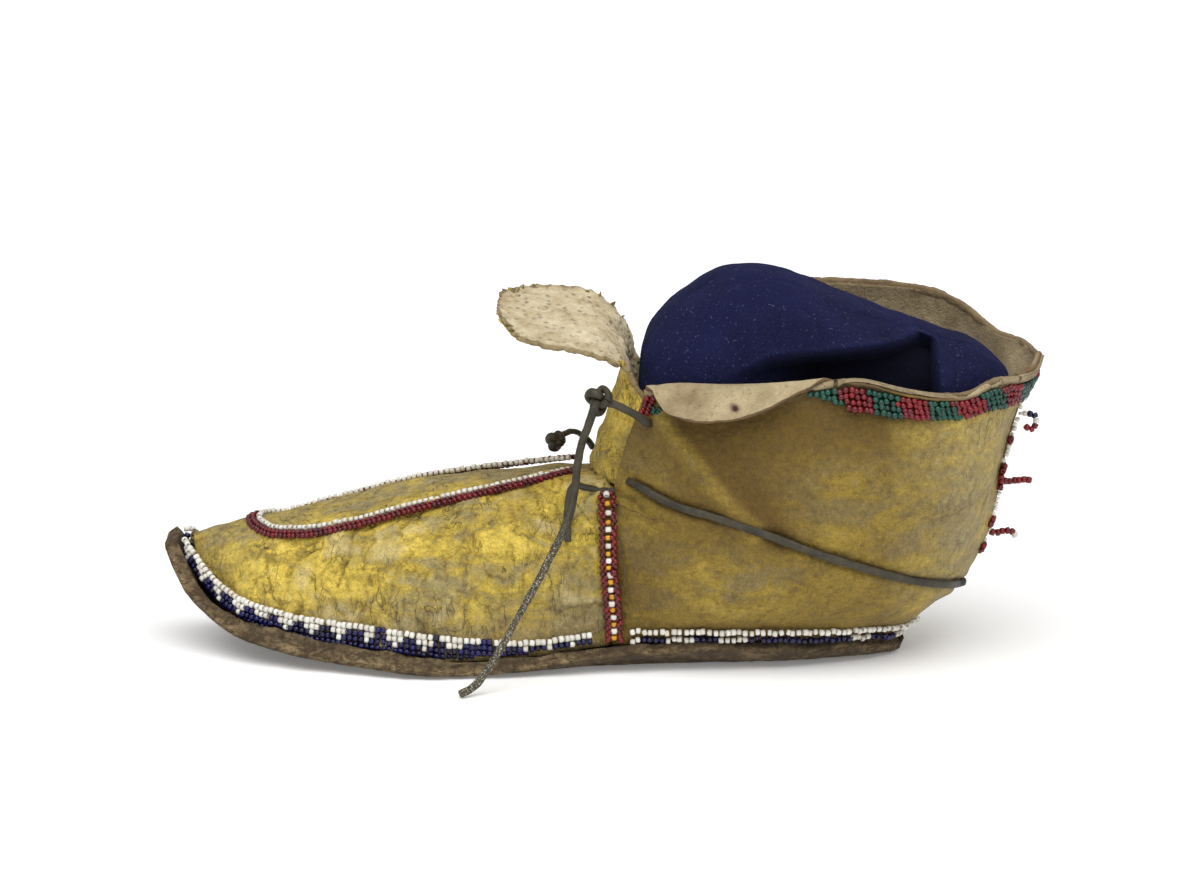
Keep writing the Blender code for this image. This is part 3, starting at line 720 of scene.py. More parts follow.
def hide_outside():
    """Buckskin coloured with ochre: patches of yellow on grey tan, mottled and finely napped."""
    s = Surface("buckskin", 0.74)
    patches = s.noise(30, 5, 0.62, (1.5, 1.5, 0.8))
    streaks = s.noise(10, 6, 0.7, (1.7, 1.7, 0.8), 0.8)
    blotches, grains = s.noise(4.5, 6, 0.75), s.noise(2.0, 5, 0.75)
    fine = s.noise(0.5, 3, 0.75)
    folds = s.math("ABSOLUTE", s.math("SUBTRACT", s.noise(11, 3, 0.6, (0.7, 0.7, 1.5), 0.6), 0.5))
    where = s.span(s.noise(13, 2, 0.5), 0.42, 0.6)
    wrinkle = s.math("MULTIPLY", s.span(folds, 0.0, 0.018, 1, 0), where)
    wash = s.math("ADD", s.span(patches, 0.36, 0.64), s.span(streaks, 0.34, 0.66, -0.75, 0.75))
    wash = s.math("ADD", wash, s.value("ochre"))
    s.paint(s.span(wash, 0.1, 0.9), (164, 148, 96), (196, 168, 60))
    s.paint(s.span(wash, 0.85, 1.5, 0, 0.9), (236, 206, 86))
    s.paint(s.span(blotches, 0.54, 0.70, 0, 0.65), (210, 194, 136))
    # Darker where the hide's own tone is darker and where shade is painted, as beside the quarter's
    # soft fold.
    s.paint(s.value("dusk"), (100, 75, 12))
    s.paint(s.span(blotches, 0.47, 0.32, 0, 0.8), (100, 78, 26))
    s.paint(s.span(s.noise(3, 7, 0.85), 0.60, 0.72, 0, 0.6), (84, 66, 28))
    # Painted shade in the fine wrinkles, which the bump below also dents; fewer of them where the
    # hide is already dark.
    wrinkle = s.math("MULTIPLY", wrinkle, s.span(s.value("dusk"), 0.2, 0.6, 0.6, 0.08))
    s.paint(wrinkle, (92, 70, 22))
    # Painted shade in creases, wrinkles and pucker hollows, and the painted shadow along the
    # drawstring.
    s.paint(s.value("crease"), (82, 60, 20))
    # Painted highlight: a paler colour on the vamp's raised bulges.
    s.paint(s.value("rubbed"), (214, 196, 144))
    # Greyer where the mesh's value for grime and painted shade is high.
    s.paint(s.value("grime"), (150, 134, 98))
    s.shade(s.span(grains, 0.3, 0.7, 0.68, 1.26))
    s.shade(s.span(fine, 0.3, 0.7, 0.82, 1.16))
    s.set("Base Color", s.colour)
    nap = s.math("ADD", s.math("MULTIPLY", grains, 0.8), s.math("MULTIPLY", fine, 0.3))
    nap = s.math("SUBTRACT", nap, s.math("MULTIPLY", wrinkle, 1.5))
    s.set("Normal", s.bump(nap, 0.55, s.bump(s.noise(5.5, 5, 0.65), 1.9)))
    return s.material


def hide_inside(name="flesh_side", light=(214, 194, 152), dark=(158, 136, 98)):
    """The hide's flesh side: cream, matt, with small dark specks and pits."""
    s = Surface(name, 0.92, sheen_weight=0.1)
    broad, specks = s.noise(14, 5, 0.6), s.noise(1.4, 5, 0.75)
    s.paint(s.span(broad, 0.35, 0.68), light, dark)
    s.paint(s.span(specks, 0.57, 0.69, 0, 0.8), (98, 80, 56))
    s.paint(s.span(s.noise(0.5, 4, 0.8), 0.3, 0.6, 0.2, 0), (128, 108, 78))
    # Browner where the mesh's value for grime and painted shade is high.
    s.paint(s.value("grime"), (128, 108, 78))
    s.paint(s.value("stain"), (70, 16, 22))
    s.set("Base Color", s.colour)
    s.set("Normal", s.bump(s.noise(0.8, 4, 0.7), 0.4, s.bump(s.noise(3.2, 5, 0.7), 1.2)))
    return s.material


def hide_edge():
    """The cut edge of the hide, brown with handling."""
    s = Surface("hide_edge", 0.8)
    s.paint(s.span(s.noise(5, 5, 0.7), 0.35, 0.7), (128, 102, 68), (92, 72, 46))
    s.set("Base Color", s.colour)
    s.set("Normal", s.bump(s.noise(1.1, 5, 0.7), 0.18))
    return s.material


def rawhide():
    """Thick rawhide: layered tan at its cut edge, darkened by painted shade on its ledge and walls,
    more towards the heel.
    """
    s = Surface("rawhide", 0.78)
    layers = s.noise(2.4, 6, 0.75, (2, 2, 0.8), 0.8)
    broad = s.noise(12, 6, 0.7)
    s.paint(s.span(layers, 0.42, 0.58), (104, 80, 48), (190, 164, 118))
    s.paint(s.span(broad, 0.46, 0.58, 0, 0.75), (88, 68, 42))
    s.paint(s.span(s.noise(3.5, 6, 0.8), 0.40, 0.30, 0, 0.8), (206, 184, 142))
    s.paint(s.span(s.noise(1.6, 6, 0.8), 0.53, 0.64, 0, 0.8), (60, 44, 26))
    # Painted shade on the sole's top, its upper wall and towards the heel.
    s.paint(s.value("grime"), (58, 44, 28))
    s.set("Base Color", s.colour)
    s.set("Normal", s.bump(layers, 1.6, s.bump(s.noise(4, 6, 0.75), 3.6)))
    return s.material


def lace_hide():
    """Smoked hide lace, dark grey-green with pale specks."""
    s = Surface("lace_hide", 0.62)
    broad, specks = s.noise(6, 5, 0.65), s.noise(0.55, 4, 0.7)
    s.paint(s.span(broad, 0.35, 0.68), (38, 35, 25), (72, 64, 45))
    s.paint(s.span(specks, 0.60, 0.70, 0, 0.3), (150, 142, 118))
    worn = s.math("MULTIPLY", s.span(specks, 0.54, 0.62), s.value("worn"))
    s.paint(worn, (196, 188, 164))
    s.set("Base Color", s.colour)
    s.set("Normal", s.bump(specks, 0.1, s.bump(s.noise(1.8, 4, 0.6), 0.25)))
    return s.material


def glass(name, colour, dark, roughness=0.28):
    """Opaque pressed glass, a little different from bead to bead."""
    s = Surface(name, roughness, coat_weight=0.12, coat_roughness=0.15)
    s.paint(s.value("tone"), colour, dark)
    s.set("Base Color", s.colour)
    return s.material


def wool():
    """Napped navy wool cloth with lint, and painted shade in the hollow under its fold."""
    s = Surface("cloth_blue", 1.0, sheen_weight=0.2, sheen_roughness=0.4)
    s.shader.inputs["Sheen Tint"].default_value = srgb(80, 86, 140)
    s.shader.inputs["Specular IOR Level"].default_value = 0.15
    fibres, lint = s.noise(0.7, 5, 0.75), s.noise(1.7, 3, 0.55)
    s.paint(s.span(s.noise(18, 4, 0.55), 0.35, 0.7), (13, 14, 36), (24, 27, 62))
    s.paint(s.span(fibres, 0.38, 0.66, 0, 0.6), (36, 40, 86))
    s.paint(s.span(s.noise(0.9, 2, 0.5), 0.67, 0.73, 0, 0.6), (96, 100, 132))
    s.paint(s.span(lint, 0.68, 0.73, 0, 0.55), (92, 96, 126))
    # Painted shade: near black in the hollow under the fold.
    s.paint(s.value("hollow"), (5, 5, 8))
    s.set("Base Color", s.colour)
    s.set("Normal", s.bump(fibres, 0.5, s.bump(s.noise(4, 4, 0.6), 0.7)))
    return s.material


def thread():
    s = Surface("sinew", 0.7)
    s.paint(s.span(s.noise(2, 3, 0.6), 0.4, 0.6), (58, 44, 32), (96, 78, 54))
    s.set("Base Color", s.colour)
    return s.material


def tongue_face():
    """The tongue's upper face: cream, with pits darkened by painted shade and a brown scalloped
    edge.
    """
    s = Surface("tongue_face", 0.9, sheen_weight=0.1)
    broad, pits = s.noise(9, 6, 0.7), s.cells(2.9)
    s.paint(s.span(broad, 0.36, 0.64), (222, 208, 174), (178, 158, 118))
    s.paint(s.span(s.noise(2.2, 5, 0.75), 0.38, 0.28, 0, 0.6), (132, 108, 70))
    where = s.span(s.noise(5, 4, 0.6), 0.4, 0.6, 0.15, 0.8)
    # Painted shade in the pits, which the bump below also dents.
    deep = s.math("MULTIPLY", s.span(pits, 0.30, 0.10), where)
    s.paint(deep, (92, 72, 46))
    s.paint(s.span(s.noise(1.6, 5, 0.75), 0.6, 0.7, 0, 0.6), (110, 90, 60))
    # Browner where the mesh's value for grime and painted shade is high.
    s.paint(s.span(s.value("grime"), 0.1, 0.9, 0, 0.85), (122, 96, 62))
    s.set("Base Color", s.colour)
    s.set("Normal", s.bump(s.noise(0.9, 4, 0.7), 0.3, s.bump(s.span(pits, 0.05, 0.35), 0.8)))
    return s.material


MATERIALS = {
    "buckskin": hide_outside(),
    "tongue": tongue_face(),
    "tongue_edge": hide_inside("tongue_edge", (206, 188, 138), (156, 130, 84)),
    "flesh": hide_inside(),
    "edge": hide_edge(),
    "roll": hide_inside("rolled_rim", (158, 136, 98), (112, 88, 58)),
    "rawhide": rawhide(),
    "lace": lace_hide(),
    "red": glass("beads_red", (118, 6, 22), (70, 2, 11)),
    "scarlet": glass("beads_scarlet", (128, 6, 22), (88, 4, 14)),
    "white": glass("beads_white", (238, 236, 228), (214, 208, 194)),
    "navy": glass("beads_navy", (20, 16, 84), (10, 8, 44)),
    "yellow": glass("beads_yellow", (222, 168, 36), (196, 138, 24)),
    "green": glass("beads_green", (8, 74, 58), (4, 48, 38)),
    "cloth": wool(),
    "thread": thread(),
}
BEAD_PITCH = 1.98
BEAD_COLOURS = ("red", "white", "navy", "yellow", "green", "scarlet")
RED, WHITE, NAVY, YELLOW, GREEN, SCARLET = range(6)


# Beads ---------------------------------------------------------------------------------------


def unit_bead(around=10, profile=6, hole=0.34, half_length=0.82):
    """A bead about the X axis, of outer radius 1: a ring with a rounded, slightly flat section."""
    turn = np.arange(around) / around * 2 * np.pi
    angle = np.arange(profile) / profile * 2 * np.pi
    thick = (1 - hole) / 2
    bulge = 0.8
    across = np.sign(np.cos(angle)) * np.abs(np.cos(angle)) ** bulge * thick + (1 + hole) / 2
    along = np.sign(np.sin(angle)) * np.abs(np.sin(angle)) ** bulge * half_length
    points = np.stack(
        [
            np.broadcast_to(along[None], (around, profile)),
            across[None] * np.cos(turn)[:, None],
            across[None] * np.sin(turn)[:, None],
        ],
        axis=-1,
    )
    points = points.reshape(-1, 3)
    index = np.arange(around * profile).reshape(around, profile)
    after, beside = np.roll(index, -1, axis=0), np.roll(index, -1, axis=1)
    faces = np.stack([index, beside, np.roll(beside, -1, axis=0), after], axis=-1)
    return points, faces.reshape(-1, 4)


BEAD_POINTS, BEAD_FACES = unit_bead()


class BeadWork:
    """Beads gathered for one piece: each has a centre, the direction of its hole and a colour."""

    def __init__(self, seed):
        self.random = np.random.default_rng(seed)
        self.centres, self.axes, self.colours, self.radii = [], [], [], []

    def add(self, centres, axes, colours, radius=1.08, wobble=0.09, shift=0.1):
        centres = np.atleast_2d(np.asarray(centres, float))
        count = len(centres)
        axes = np.broadcast_to(np.asarray(axes, float), centres.shape)
        self.centres.append(centres + self.random.normal(0, shift, (count, 3)))
        self.axes.append(unit(axes + self.random.normal(0, wobble, (count, 3))))
        self.colours.append(np.broadcast_to(np.asarray(colours, int), count))
        self.radii.append(np.broadcast_to(radius, count) * self.random.uniform(0.93, 1.06, count))

    def make(self, name, node, body="upper"):
        centres, axes = np.concatenate(self.centres), np.concatenate(self.axes)
        colours, radii = np.concatenate(self.colours), np.concatenate(self.radii)
        count = len(centres)
        side = unit(np.cross(axes, self.random.normal(0, 1, (count, 3))))
        up = np.cross(axes, side)
        lengths = radii * self.random.uniform(0.86, 1.06, count)
        shape = BEAD_POINTS[None] * np.stack([lengths, radii, radii], axis=-1)[:, None]
        basis = np.stack([axes, side, up], axis=1)
        points = np.einsum("npk,nkj->npj", shape, basis) + centres[:, None]
        faces = BEAD_FACES[None] + (np.arange(count) * len(BEAD_POINTS))[:, None, None]
        tones = np.repeat(self.random.uniform(0, 1, count), len(BEAD_POINTS))
        used = sorted(set(colours.tolist()))
        slots = np.repeat(np.searchsorted(used, colours), len(BEAD_FACES))
        materials = [MATERIALS[BEAD_COLOURS[c]] for c in used]
        points, faces = points.reshape(-1, 3), faces.reshape(-1, 4)
        obj = new_mesh(name, points, faces, materials, slots, {"tone": tones})
        keep(obj, [node], body)


def keep(obj, nodes, body):
    """Hides the CAD parts that a piece takes the place of, and hangs the piece on the body it rides
    on.
    """
    if nodes:
        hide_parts(*nodes)
    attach(obj, body)
    return obj


# Hide, sole and tongue -------------------------------------------------------------------------


def distance_to(spots, line):
    """How far spots are from a polyline."""
    nearest = np.full(spots.shape[:-1], np.inf)
    for a, b in zip(line[:-1], line[1:]):
        run = b - a
        share = np.clip(((spots - a) @ run) / (run @ run), 0, 1)
        nearest = np.minimum(nearest, np.linalg.norm(spots - a - share[..., None] * run, axis=-1))
    return nearest


def crease(points, line, width):
    """How close points are to a line (x, z) on the outer side: 1 on it, falling off beside it."""
    return bell(distance_to(points[..., [0, 2]], np.array(line, float)), width)


def sheet_of_hide(name, patch, cells, relief, values):
    """A hide panel: the drawn surface with its relief, thickened inwards, with a brown cut edge."""
    u = np.linspace(*patch.u_range, cells[0])[:, None]
    v = np.linspace(*patch.v_range, cells[1])[None]
    base, normal = patch.at(u, v), patch.normal(u, v)
    points = base + normal * relief(base, v)[..., None]
    named = {key: np.broadcast_to(value, cells) for key, value in values(base, v).items()}
    materials = [MATERIALS["buckskin"], MATERIALS["flesh"], MATERIALS["edge"]]
    faces = outward_faces(points, normal)
    obj = new_mesh(f"{name}_hide", points.reshape(-1, 3), faces, materials, None, named)
    thicken(obj, LEATHER, True)
    return keep(obj, [name], "upper")


# Lines (x, z) of creases and folds on the outer side.
VAMP_CREASES = (
    ((-82.6, 47), (-84.4, 42), (-86, 36), (-90, 27)),
    ((-43, 47), (-44, 40), (-44.7, 31)),
    ((-113, 32), (-111.6, 27), (-109, 20)),
    ((-65.7, 25.5), (-66.2, 20)),
    ((-79, 24), (-79.4, 15)),
    ((-6.5, 30), (-6.3, 16)),
    ((-102, 20), (-104, 15)),
)
QUARTER_CREASES = (
    ((14.4, 75.4), (16.4, 72.6)),
    ((100, 56), (112, 54), (124, 56), (132, 60)),
    ((6, 58.5), (12, 56.5), (20, 54.5)),
)
SOFT_FOLD = ((20, 88), (27, 80), (36, 69), (44, 60), (52, 52))


def creased(points, lines, width, seed):
    """The darkest of some creases, each broken up along its length."""
    total = np.zeros(points.shape[:-1])
    jitter = points + rough(points, 9, 4, seed)[..., None] * (1.3, 0, 1.3)
    for line in lines:
        total = np.maximum(total, crease(jitter, line, width))
    return total


class VampPlan:
    """The vamp as seen from above: the surface over points of the plan, and its normals there."""

    def __init__(self, patch):
        self.patch = patch
        steps = np.linspace(*patch.u_range, 200), np.linspace(-0.97, 0.97, 240)
        s, t = np.meshgrid(*steps, indexing="ij")
        self.places = np.stack([s.ravel(), t.ravel()], axis=-1)
        plan = patch.at(s, t).reshape(-1, 3)[:, :2]
        self.tree = kdtree.KDTree(len(plan))
        for index, (x, y) in enumerate(plan):
            self.tree.insert((x, y, 0), index)
        self.tree.balance()

    def at(self, points):
        """(points, normals) of the vamp above each (x, y)."""
        points = np.asarray(points, float)[:, :2]
        found = np.array([self.places[self.tree.find((x, y, 0))[1]] for x, y in points])
        for _ in range(4):
            here = self.patch.at(found[:, 0], found[:, 1])[:, :2]
            step = 0.002
            by_s = (self.patch.at(found[:, 0] + step, found[:, 1])[:, :2] - here) / step
            by_t = (self.patch.at(found[:, 0], found[:, 1] + step)[:, :2] - here) / step
            gap = points - here
            area = by_s[:, 0] * by_t[:, 1] - by_s[:, 1] * by_t[:, 0]
            area = np.where(np.abs(area) < 1, 1, area)
            move_s = (gap[:, 0] * by_t[:, 1] - gap[:, 1] * by_t[:, 0]) / area
            move_t = (by_s[:, 0] * gap[:, 1] - by_s[:, 1] * gap[:, 0]) / area
            found = found + np.clip(np.stack([move_s, move_t], axis=-1), -0.02, 0.02)
            found[:, 0] = np.clip(found[:, 0], *self.patch.u_range)
        return self.patch.at(found[:, 0], found[:, 1]), self.patch.normal(found[:, 0], found[:, 1])


# The vamp's margin under the quarters, and the turn of the outline where the hide starts.
TUCK = 2.5
TOE_TURN = 0.03


def whole_vamp(s, t):
    """The vamp, with a tucked margin that runs back under the quarters and the tongue."""
    return vamp_section(turn_of(SIDE_SEAM_X + TUCK) * s, t)


VAMP_PATCH = Patch(whole_vamp, (TOE_TURN, 1), (-1, 1), (64, 61))
VAMP_PLAN = VampPlan(VAMP_PATCH)


def ridges(points, sharpness):
    """Sharp wrinkles, 1 along their lines."""
    return np.clip(1 - np.abs(rough(points * (1, 1, 0.6), 9, 3, 12)), 0, 1) ** sharpness


def make_vamp():
    def outer(points, value):
        """A value on the outer side alone, which fades out towards the middle."""
        return value * ramp(points[..., 1], 0, -12)

    def gathers(points, v):
        """Small upright puckers where the hide is drawn in to the sole seam."""
        near = np.exp(-(((1 - np.abs(v)) / 0.11) ** 1.4))
        front = np.clip((-20 - points[..., 0]) / 40, 0.25, 1)
        return near * front * np.clip(noise(points * (1, 1, 0.2), 4.2, 40) + 0.15, -1, 0.3)

    def crumple(points):
        """Soft dents and sharper wrinkles, strongest on the outer side behind the toe."""
        where = np.clip(0.45 + noise(points, 38, 9) + outer(points, 0.3), 0.15, 1)
        return where * (rough(points, 10, 3, 5) * 0.85 - ridges(points, 6) * 0.9)

    def relief(points, v):
        height = rough(points, 30, 2, 1) * 0.9 + crumple(points) + rough(points, 16, 2, 7) * 0.8
        height -= outer(points, creased(points, VAMP_CREASES, 0.6, 20)) * 0.8
        height += outer(points, creased(points + (2.2, 0, 0), VAMP_CREASES, 2.0, 20)) * 0.7
        tuck = ramp(points[..., 0], SIDE_SEAM_X - 1.6, SIDE_SEAM_X - 0.2)
        sunk = 1.9 * tuck * tuck * (3 - 2 * tuck)
        return height * (1 - 0.8 * tuck) + gathers(points, v) * 1.3 - sunk

    def values(points, v):
        x, y, z = np.moveaxis(points, -1, 0)
        low = ramp(z, 30, 10) * ramp(x, -120, -80)
        toe, top = ramp(x, -80, -110), ramp(y, -16, -4)
        # Painted shade: darker colour in the creases, along the sharp wrinkles and in the hollows
        # of the puckers.
        dark = outer(points, creased(points, VAMP_CREASES, 0.4, 20)) * 0.6
        dark = np.maximum(dark, ridges(points, 16) * 0.5)
        dark = np.maximum(dark, np.clip(-gathers(points, v) * 1.2 - 0.15, 0, 0.7))
        # Painted highlight on the raised bulges of the crumpled hide, fading towards the inner
        # side.
        rubbed = np.clip((crumple(points) - 0.12) * 1.1, 0, 0.5) * np.clip(1 - v * 2, 0.3, 1)
        # Darker in broad patches and low down near the toe; greyer and less ochre low down and over
        # the crest and inner side, more ochre at the toe.
        dusk = 0.3 * np.clip(noise(points, 26, 33), 0, 1) + 0.32 * low
        return {
            "crease": dark,
            "ochre": 0.3 + 0.3 * toe - 0.5 * low - 0.3 * top,
            "grime": low * 0.4 + top * 0.2,
            "dusk": dusk * (1 - top),
            "rubbed": rubbed,
        }

    sheet_of_hide("vamp", VAMP_PATCH, (270, 260), relief, values)


def distance_to_lace(surface):
    """A function that says how far points of a quarter are from its drawstring."""
    height_at = spline(LACE_ON_QUARTER)
    places = [(u, at_height(surface, u, height_at(u))) for u in np.linspace(0.05, 1, 40)]
    line = np.array([surface(u, v) for u, v in places])
    return lambda points: distance_to(points, line)


def groove(near):
    """The drawstring presses a groove into the hide, with a soft swelling on both sides."""
    return -1.1 * bell(near, 2.2) + 0.35 * bell(near - 4, 2)


def patchy(points, seed):
    """Broad patches of darker hide on a quarter."""
    return 0.45 * np.clip(noise(points * (0.7, 0.7, 1), 30, seed), -0.6, 1)


STAIN = (44.7, 91.4)


def make_lateral_quarter():
    patch = Patch(folded_rim, (0, 1), (0, 2), (54, 121))
    to_lace = distance_to_lace(lateral)

    def relief(points, v):
        body, fold = ramp(v, 1, 0.88), ramp(v, 1.05, 1.35)
        height = rough(points, 34, 2, 51) * 1.0 + rough(points, 11, 3, 55) * 0.35
        height += crease(points, SOFT_FOLD, 4) * 2.4
        height -= crease(points + (-6, 0, 4), SOFT_FOLD, 4) * 1.4
        height += rough(points * (1, 1, 0.7), 6, 3, 56) * 0.22
        height += body * groove(to_lace(points))
        height -= creased(points, QUARTER_CREASES, 1.4, 58) * 0.45
        return height * (0.25 + 0.75 * body) + fold * rough(points, 6, 3, 59) * 0.35

    def values(points, v):
        x, _, z = np.moveaxis(points, -1, 0)
        low, heel = ramp(z, 20, 6), ramp(x, 94, 130)
        front, rim = ramp(x, 30, 4) * ramp(z, 60, 80), bell(v - 1, 0.06)
        # Painted shadow of the drawstring along its groove, and painted shade in the creases.
        dark = bell(to_lace(points), 1.7) * 0.75 * (v < 1)
        dark = np.maximum(dark, creased(points, QUARTER_CREASES, 0.7, 58) * 0.45)
        stain = np.exp(-((x - STAIN[0]) ** 2 * 0.6 + (z - STAIN[1]) ** 2) / 1.3) * (v > 1.2)
        # Darker all over, lower down and in broad patches, less so at the upper front; a painted
        # highlight along the soft fold's ridge and painted shade beside it. Less dark towards the
        # top of the heel.
        dusk = 0.8 + 0.3 * low + patchy(points, 63)
        dusk -= 0.12 * front + 0.4 * crease(points, SOFT_FOLD, 4)
        dusk += 0.25 * crease(points + (-8, 0, 4), SOFT_FOLD, 6)
        # Greyer low down, at the heel, at the upper front and along the roll.
        grime = (0.12 * low + 0.5 * heel + 0.2 * front) * (v < 1) + 0.3 * rim
        return {
            "crease": dark,
            "ochre": 0.35 - 0.1 * low - 0.4 * heel - 0.35 * front - 0.4 * rim,
            "grime": np.clip(grime, 0, 0.8),
            "stain": np.clip(stain * 1.4, 0, 1),
            "dusk": np.clip(dusk, 0, 1) * np.clip(1 - 1.1 * heel * (1 - low), 0, 1),
        }

    sheet_of_hide("lateral_quarter", patch, (300, 300), relief, values)


def medial_panel(u, v):
    """The medial quarter with the top of its front edge rounded off."""
    return medial(u, v * (1 - 0.14 * smooth_step((0.14 - u) / 0.14) * smooth_step((v - 0.5) / 0.5)))


def make_medial_quarter():
    patch = Patch(medial_panel, (0, 1), (0, 1), (60, 61))
    to_lace = distance_to_lace(medial)

    def relief(points, _):
        uneven = rough(points, 32, 2, 71) * 0.9 + rough(points, 10, 3, 75) * 0.3
        return uneven + groove(to_lace(points))

    def values(points, v):
        low, rim = ramp(points[..., 2], 20, 6), ramp(v, 0.93, 1)
        # Painted shadow of the drawstring along its groove; greyer low down and at the rim.
        return {
            "crease": bell(to_lace(points), 1.7) * 0.75,
            "ochre": 0.1 - 0.4 * low - 0.3 * rim,
            "grime": 0.3 * low + 0.5 * rim,
            "dusk": 0.6 + patchy(points, 73),
        }

    sheet_of_hide("medial_quarter", patch, (230, 200), relief, values)


SCALLOP = 4.8
TIP_WIDTH = 44
TOOTH_DEPTH = 2.2
TONGUE_FOOT_BACK, TONGUE_FOOT_WIDER = 6.5, 1.6


def tongue_middle(s, t, cells):
    """The tongue's surface, whose foot is spread under the quarters and let down onto the vamp."""
    last = len(TONGUE_LINE) - 1
    base = Patch(tongue_surface, (0, last), (-1, 1), (64, 31)).at(s, t) + np.zeros((*cells, 3))
    spread = ramp(np.abs(t), 0.6, 1) ** 1.6 * (1 - ramp(s, 2.2, 4.2))
    base[..., 0] += spread * TONGUE_FOOT_BACK
    base[..., 1] += np.sign(t) * spread * TONGUE_FOOT_WIDER
    standing = np.stack([np.full(cells[1], -4.0), base[0, :, 1]], axis=-1)
    under = VAMP_PLAN.at(standing)[0][:, 2] + 0.6
    drop = np.maximum(TONGUE_LINE[0][1] - under, 0)[None]
    base[..., 2] -= ramp(s, 2.4, 0) ** 1.3 * drop
    return base


def make_tongue():
    cells = (260, 220)
    middle = cells[1] // 2
    s = np.linspace(0, len(TONGUE_LINE) - 1, cells[0])[:, None]
    t = np.linspace(-1, 1, cells[1])[None]
    base = tongue_middle(s, t, cells)
    along, across = np.gradient(base, axis=0), np.gradient(base, axis=1)
    back = unit(np.cross(along, across))
    if back[cells[0] // 6, middle, 0] < 0:
        back = -back
    steps = np.linalg.norm(np.diff(base, axis=0), axis=-1)
    down = np.concatenate([np.zeros((1, cells[1])), np.cumsum(steps, axis=0)])
    from_tip = down[-1:] - down
    near_tip = np.clip(1.2 - from_tip / 8, 0, 1)[..., None]
    back = unit(back * (1 - near_tip) + back[:, middle, None] * near_tip)
    points = base + back * TONGUE_THICK

    width = np.linalg.norm(across, axis=-1).sum(axis=1, keepdims=True)
    from_side = (1 - np.abs(t)) * width / 2
    free = ramp(s, 3.2, 4.4)
    around = (np.arange(cells[1]) / cells[1])[None] * TIP_WIDTH

    def teeth(length, seed):
        return 0.5 + 0.5 * np.sin(length / SCALLOP * 2 * np.pi + 1.5 * noise(points, 9, seed))

    side_teeth, tip_teeth = teeth(down, 80), teeth(around, 81)
    clear = 1 - np.exp(-from_tip / 5)
    outward = clear * free * (side_teeth - 0.6) * 0.8 * np.exp(-from_side / TOOTH_DEPTH)
    points = points + unit(across) * np.sign(t)[..., None] * outward[..., None]
    outward = (tip_teeth - 0.6) * 0.9 * np.exp(-from_tip / TOOTH_DEPTH) * free
    points = points + unit(along) * outward[..., None]
    edge = np.exp(-np.minimum(from_side, from_tip) / 2) * free
    bumps = rough(points, 3.0, 3, 85) * 0.45 + rough(points, 12, 2, 88) * 0.8
    points = points + back * (bumps + edge * (side_teeth + tip_teeth) * 0.15)[..., None]

    high = ramp(points[..., 2], 60, 90)
    handled = 0.5 * np.clip(t, 0, 1) * free * np.clip(noise(points, 5, 82), 0, 1)
    # Brown on the teeth of the edge and where handled, and darker lower down, towards the vamp.
    grime = edge * (0.05 + 0.6 * side_teeth * tip_teeth) + (1 - high) * 0.2 + handled
    values = {
        "grime": np.clip(grime, 0, 1),
        "ochre": np.full(cells, 0.6),
        "dusk": np.clip(0.3 - high * 0.3, 0, 1),
    }
    materials = [MATERIALS["tongue"], MATERIALS["buckskin"], MATERIALS["tongue_edge"]]
    faces = outward_faces(points, back)
    obj = new_mesh("tongue_hide", points.reshape(-1, 3), faces, materials, None, values)
    thicken(obj, TONGUE_THICK, False)
    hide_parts("tongue_base", "tongue_flap")
    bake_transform(obj)


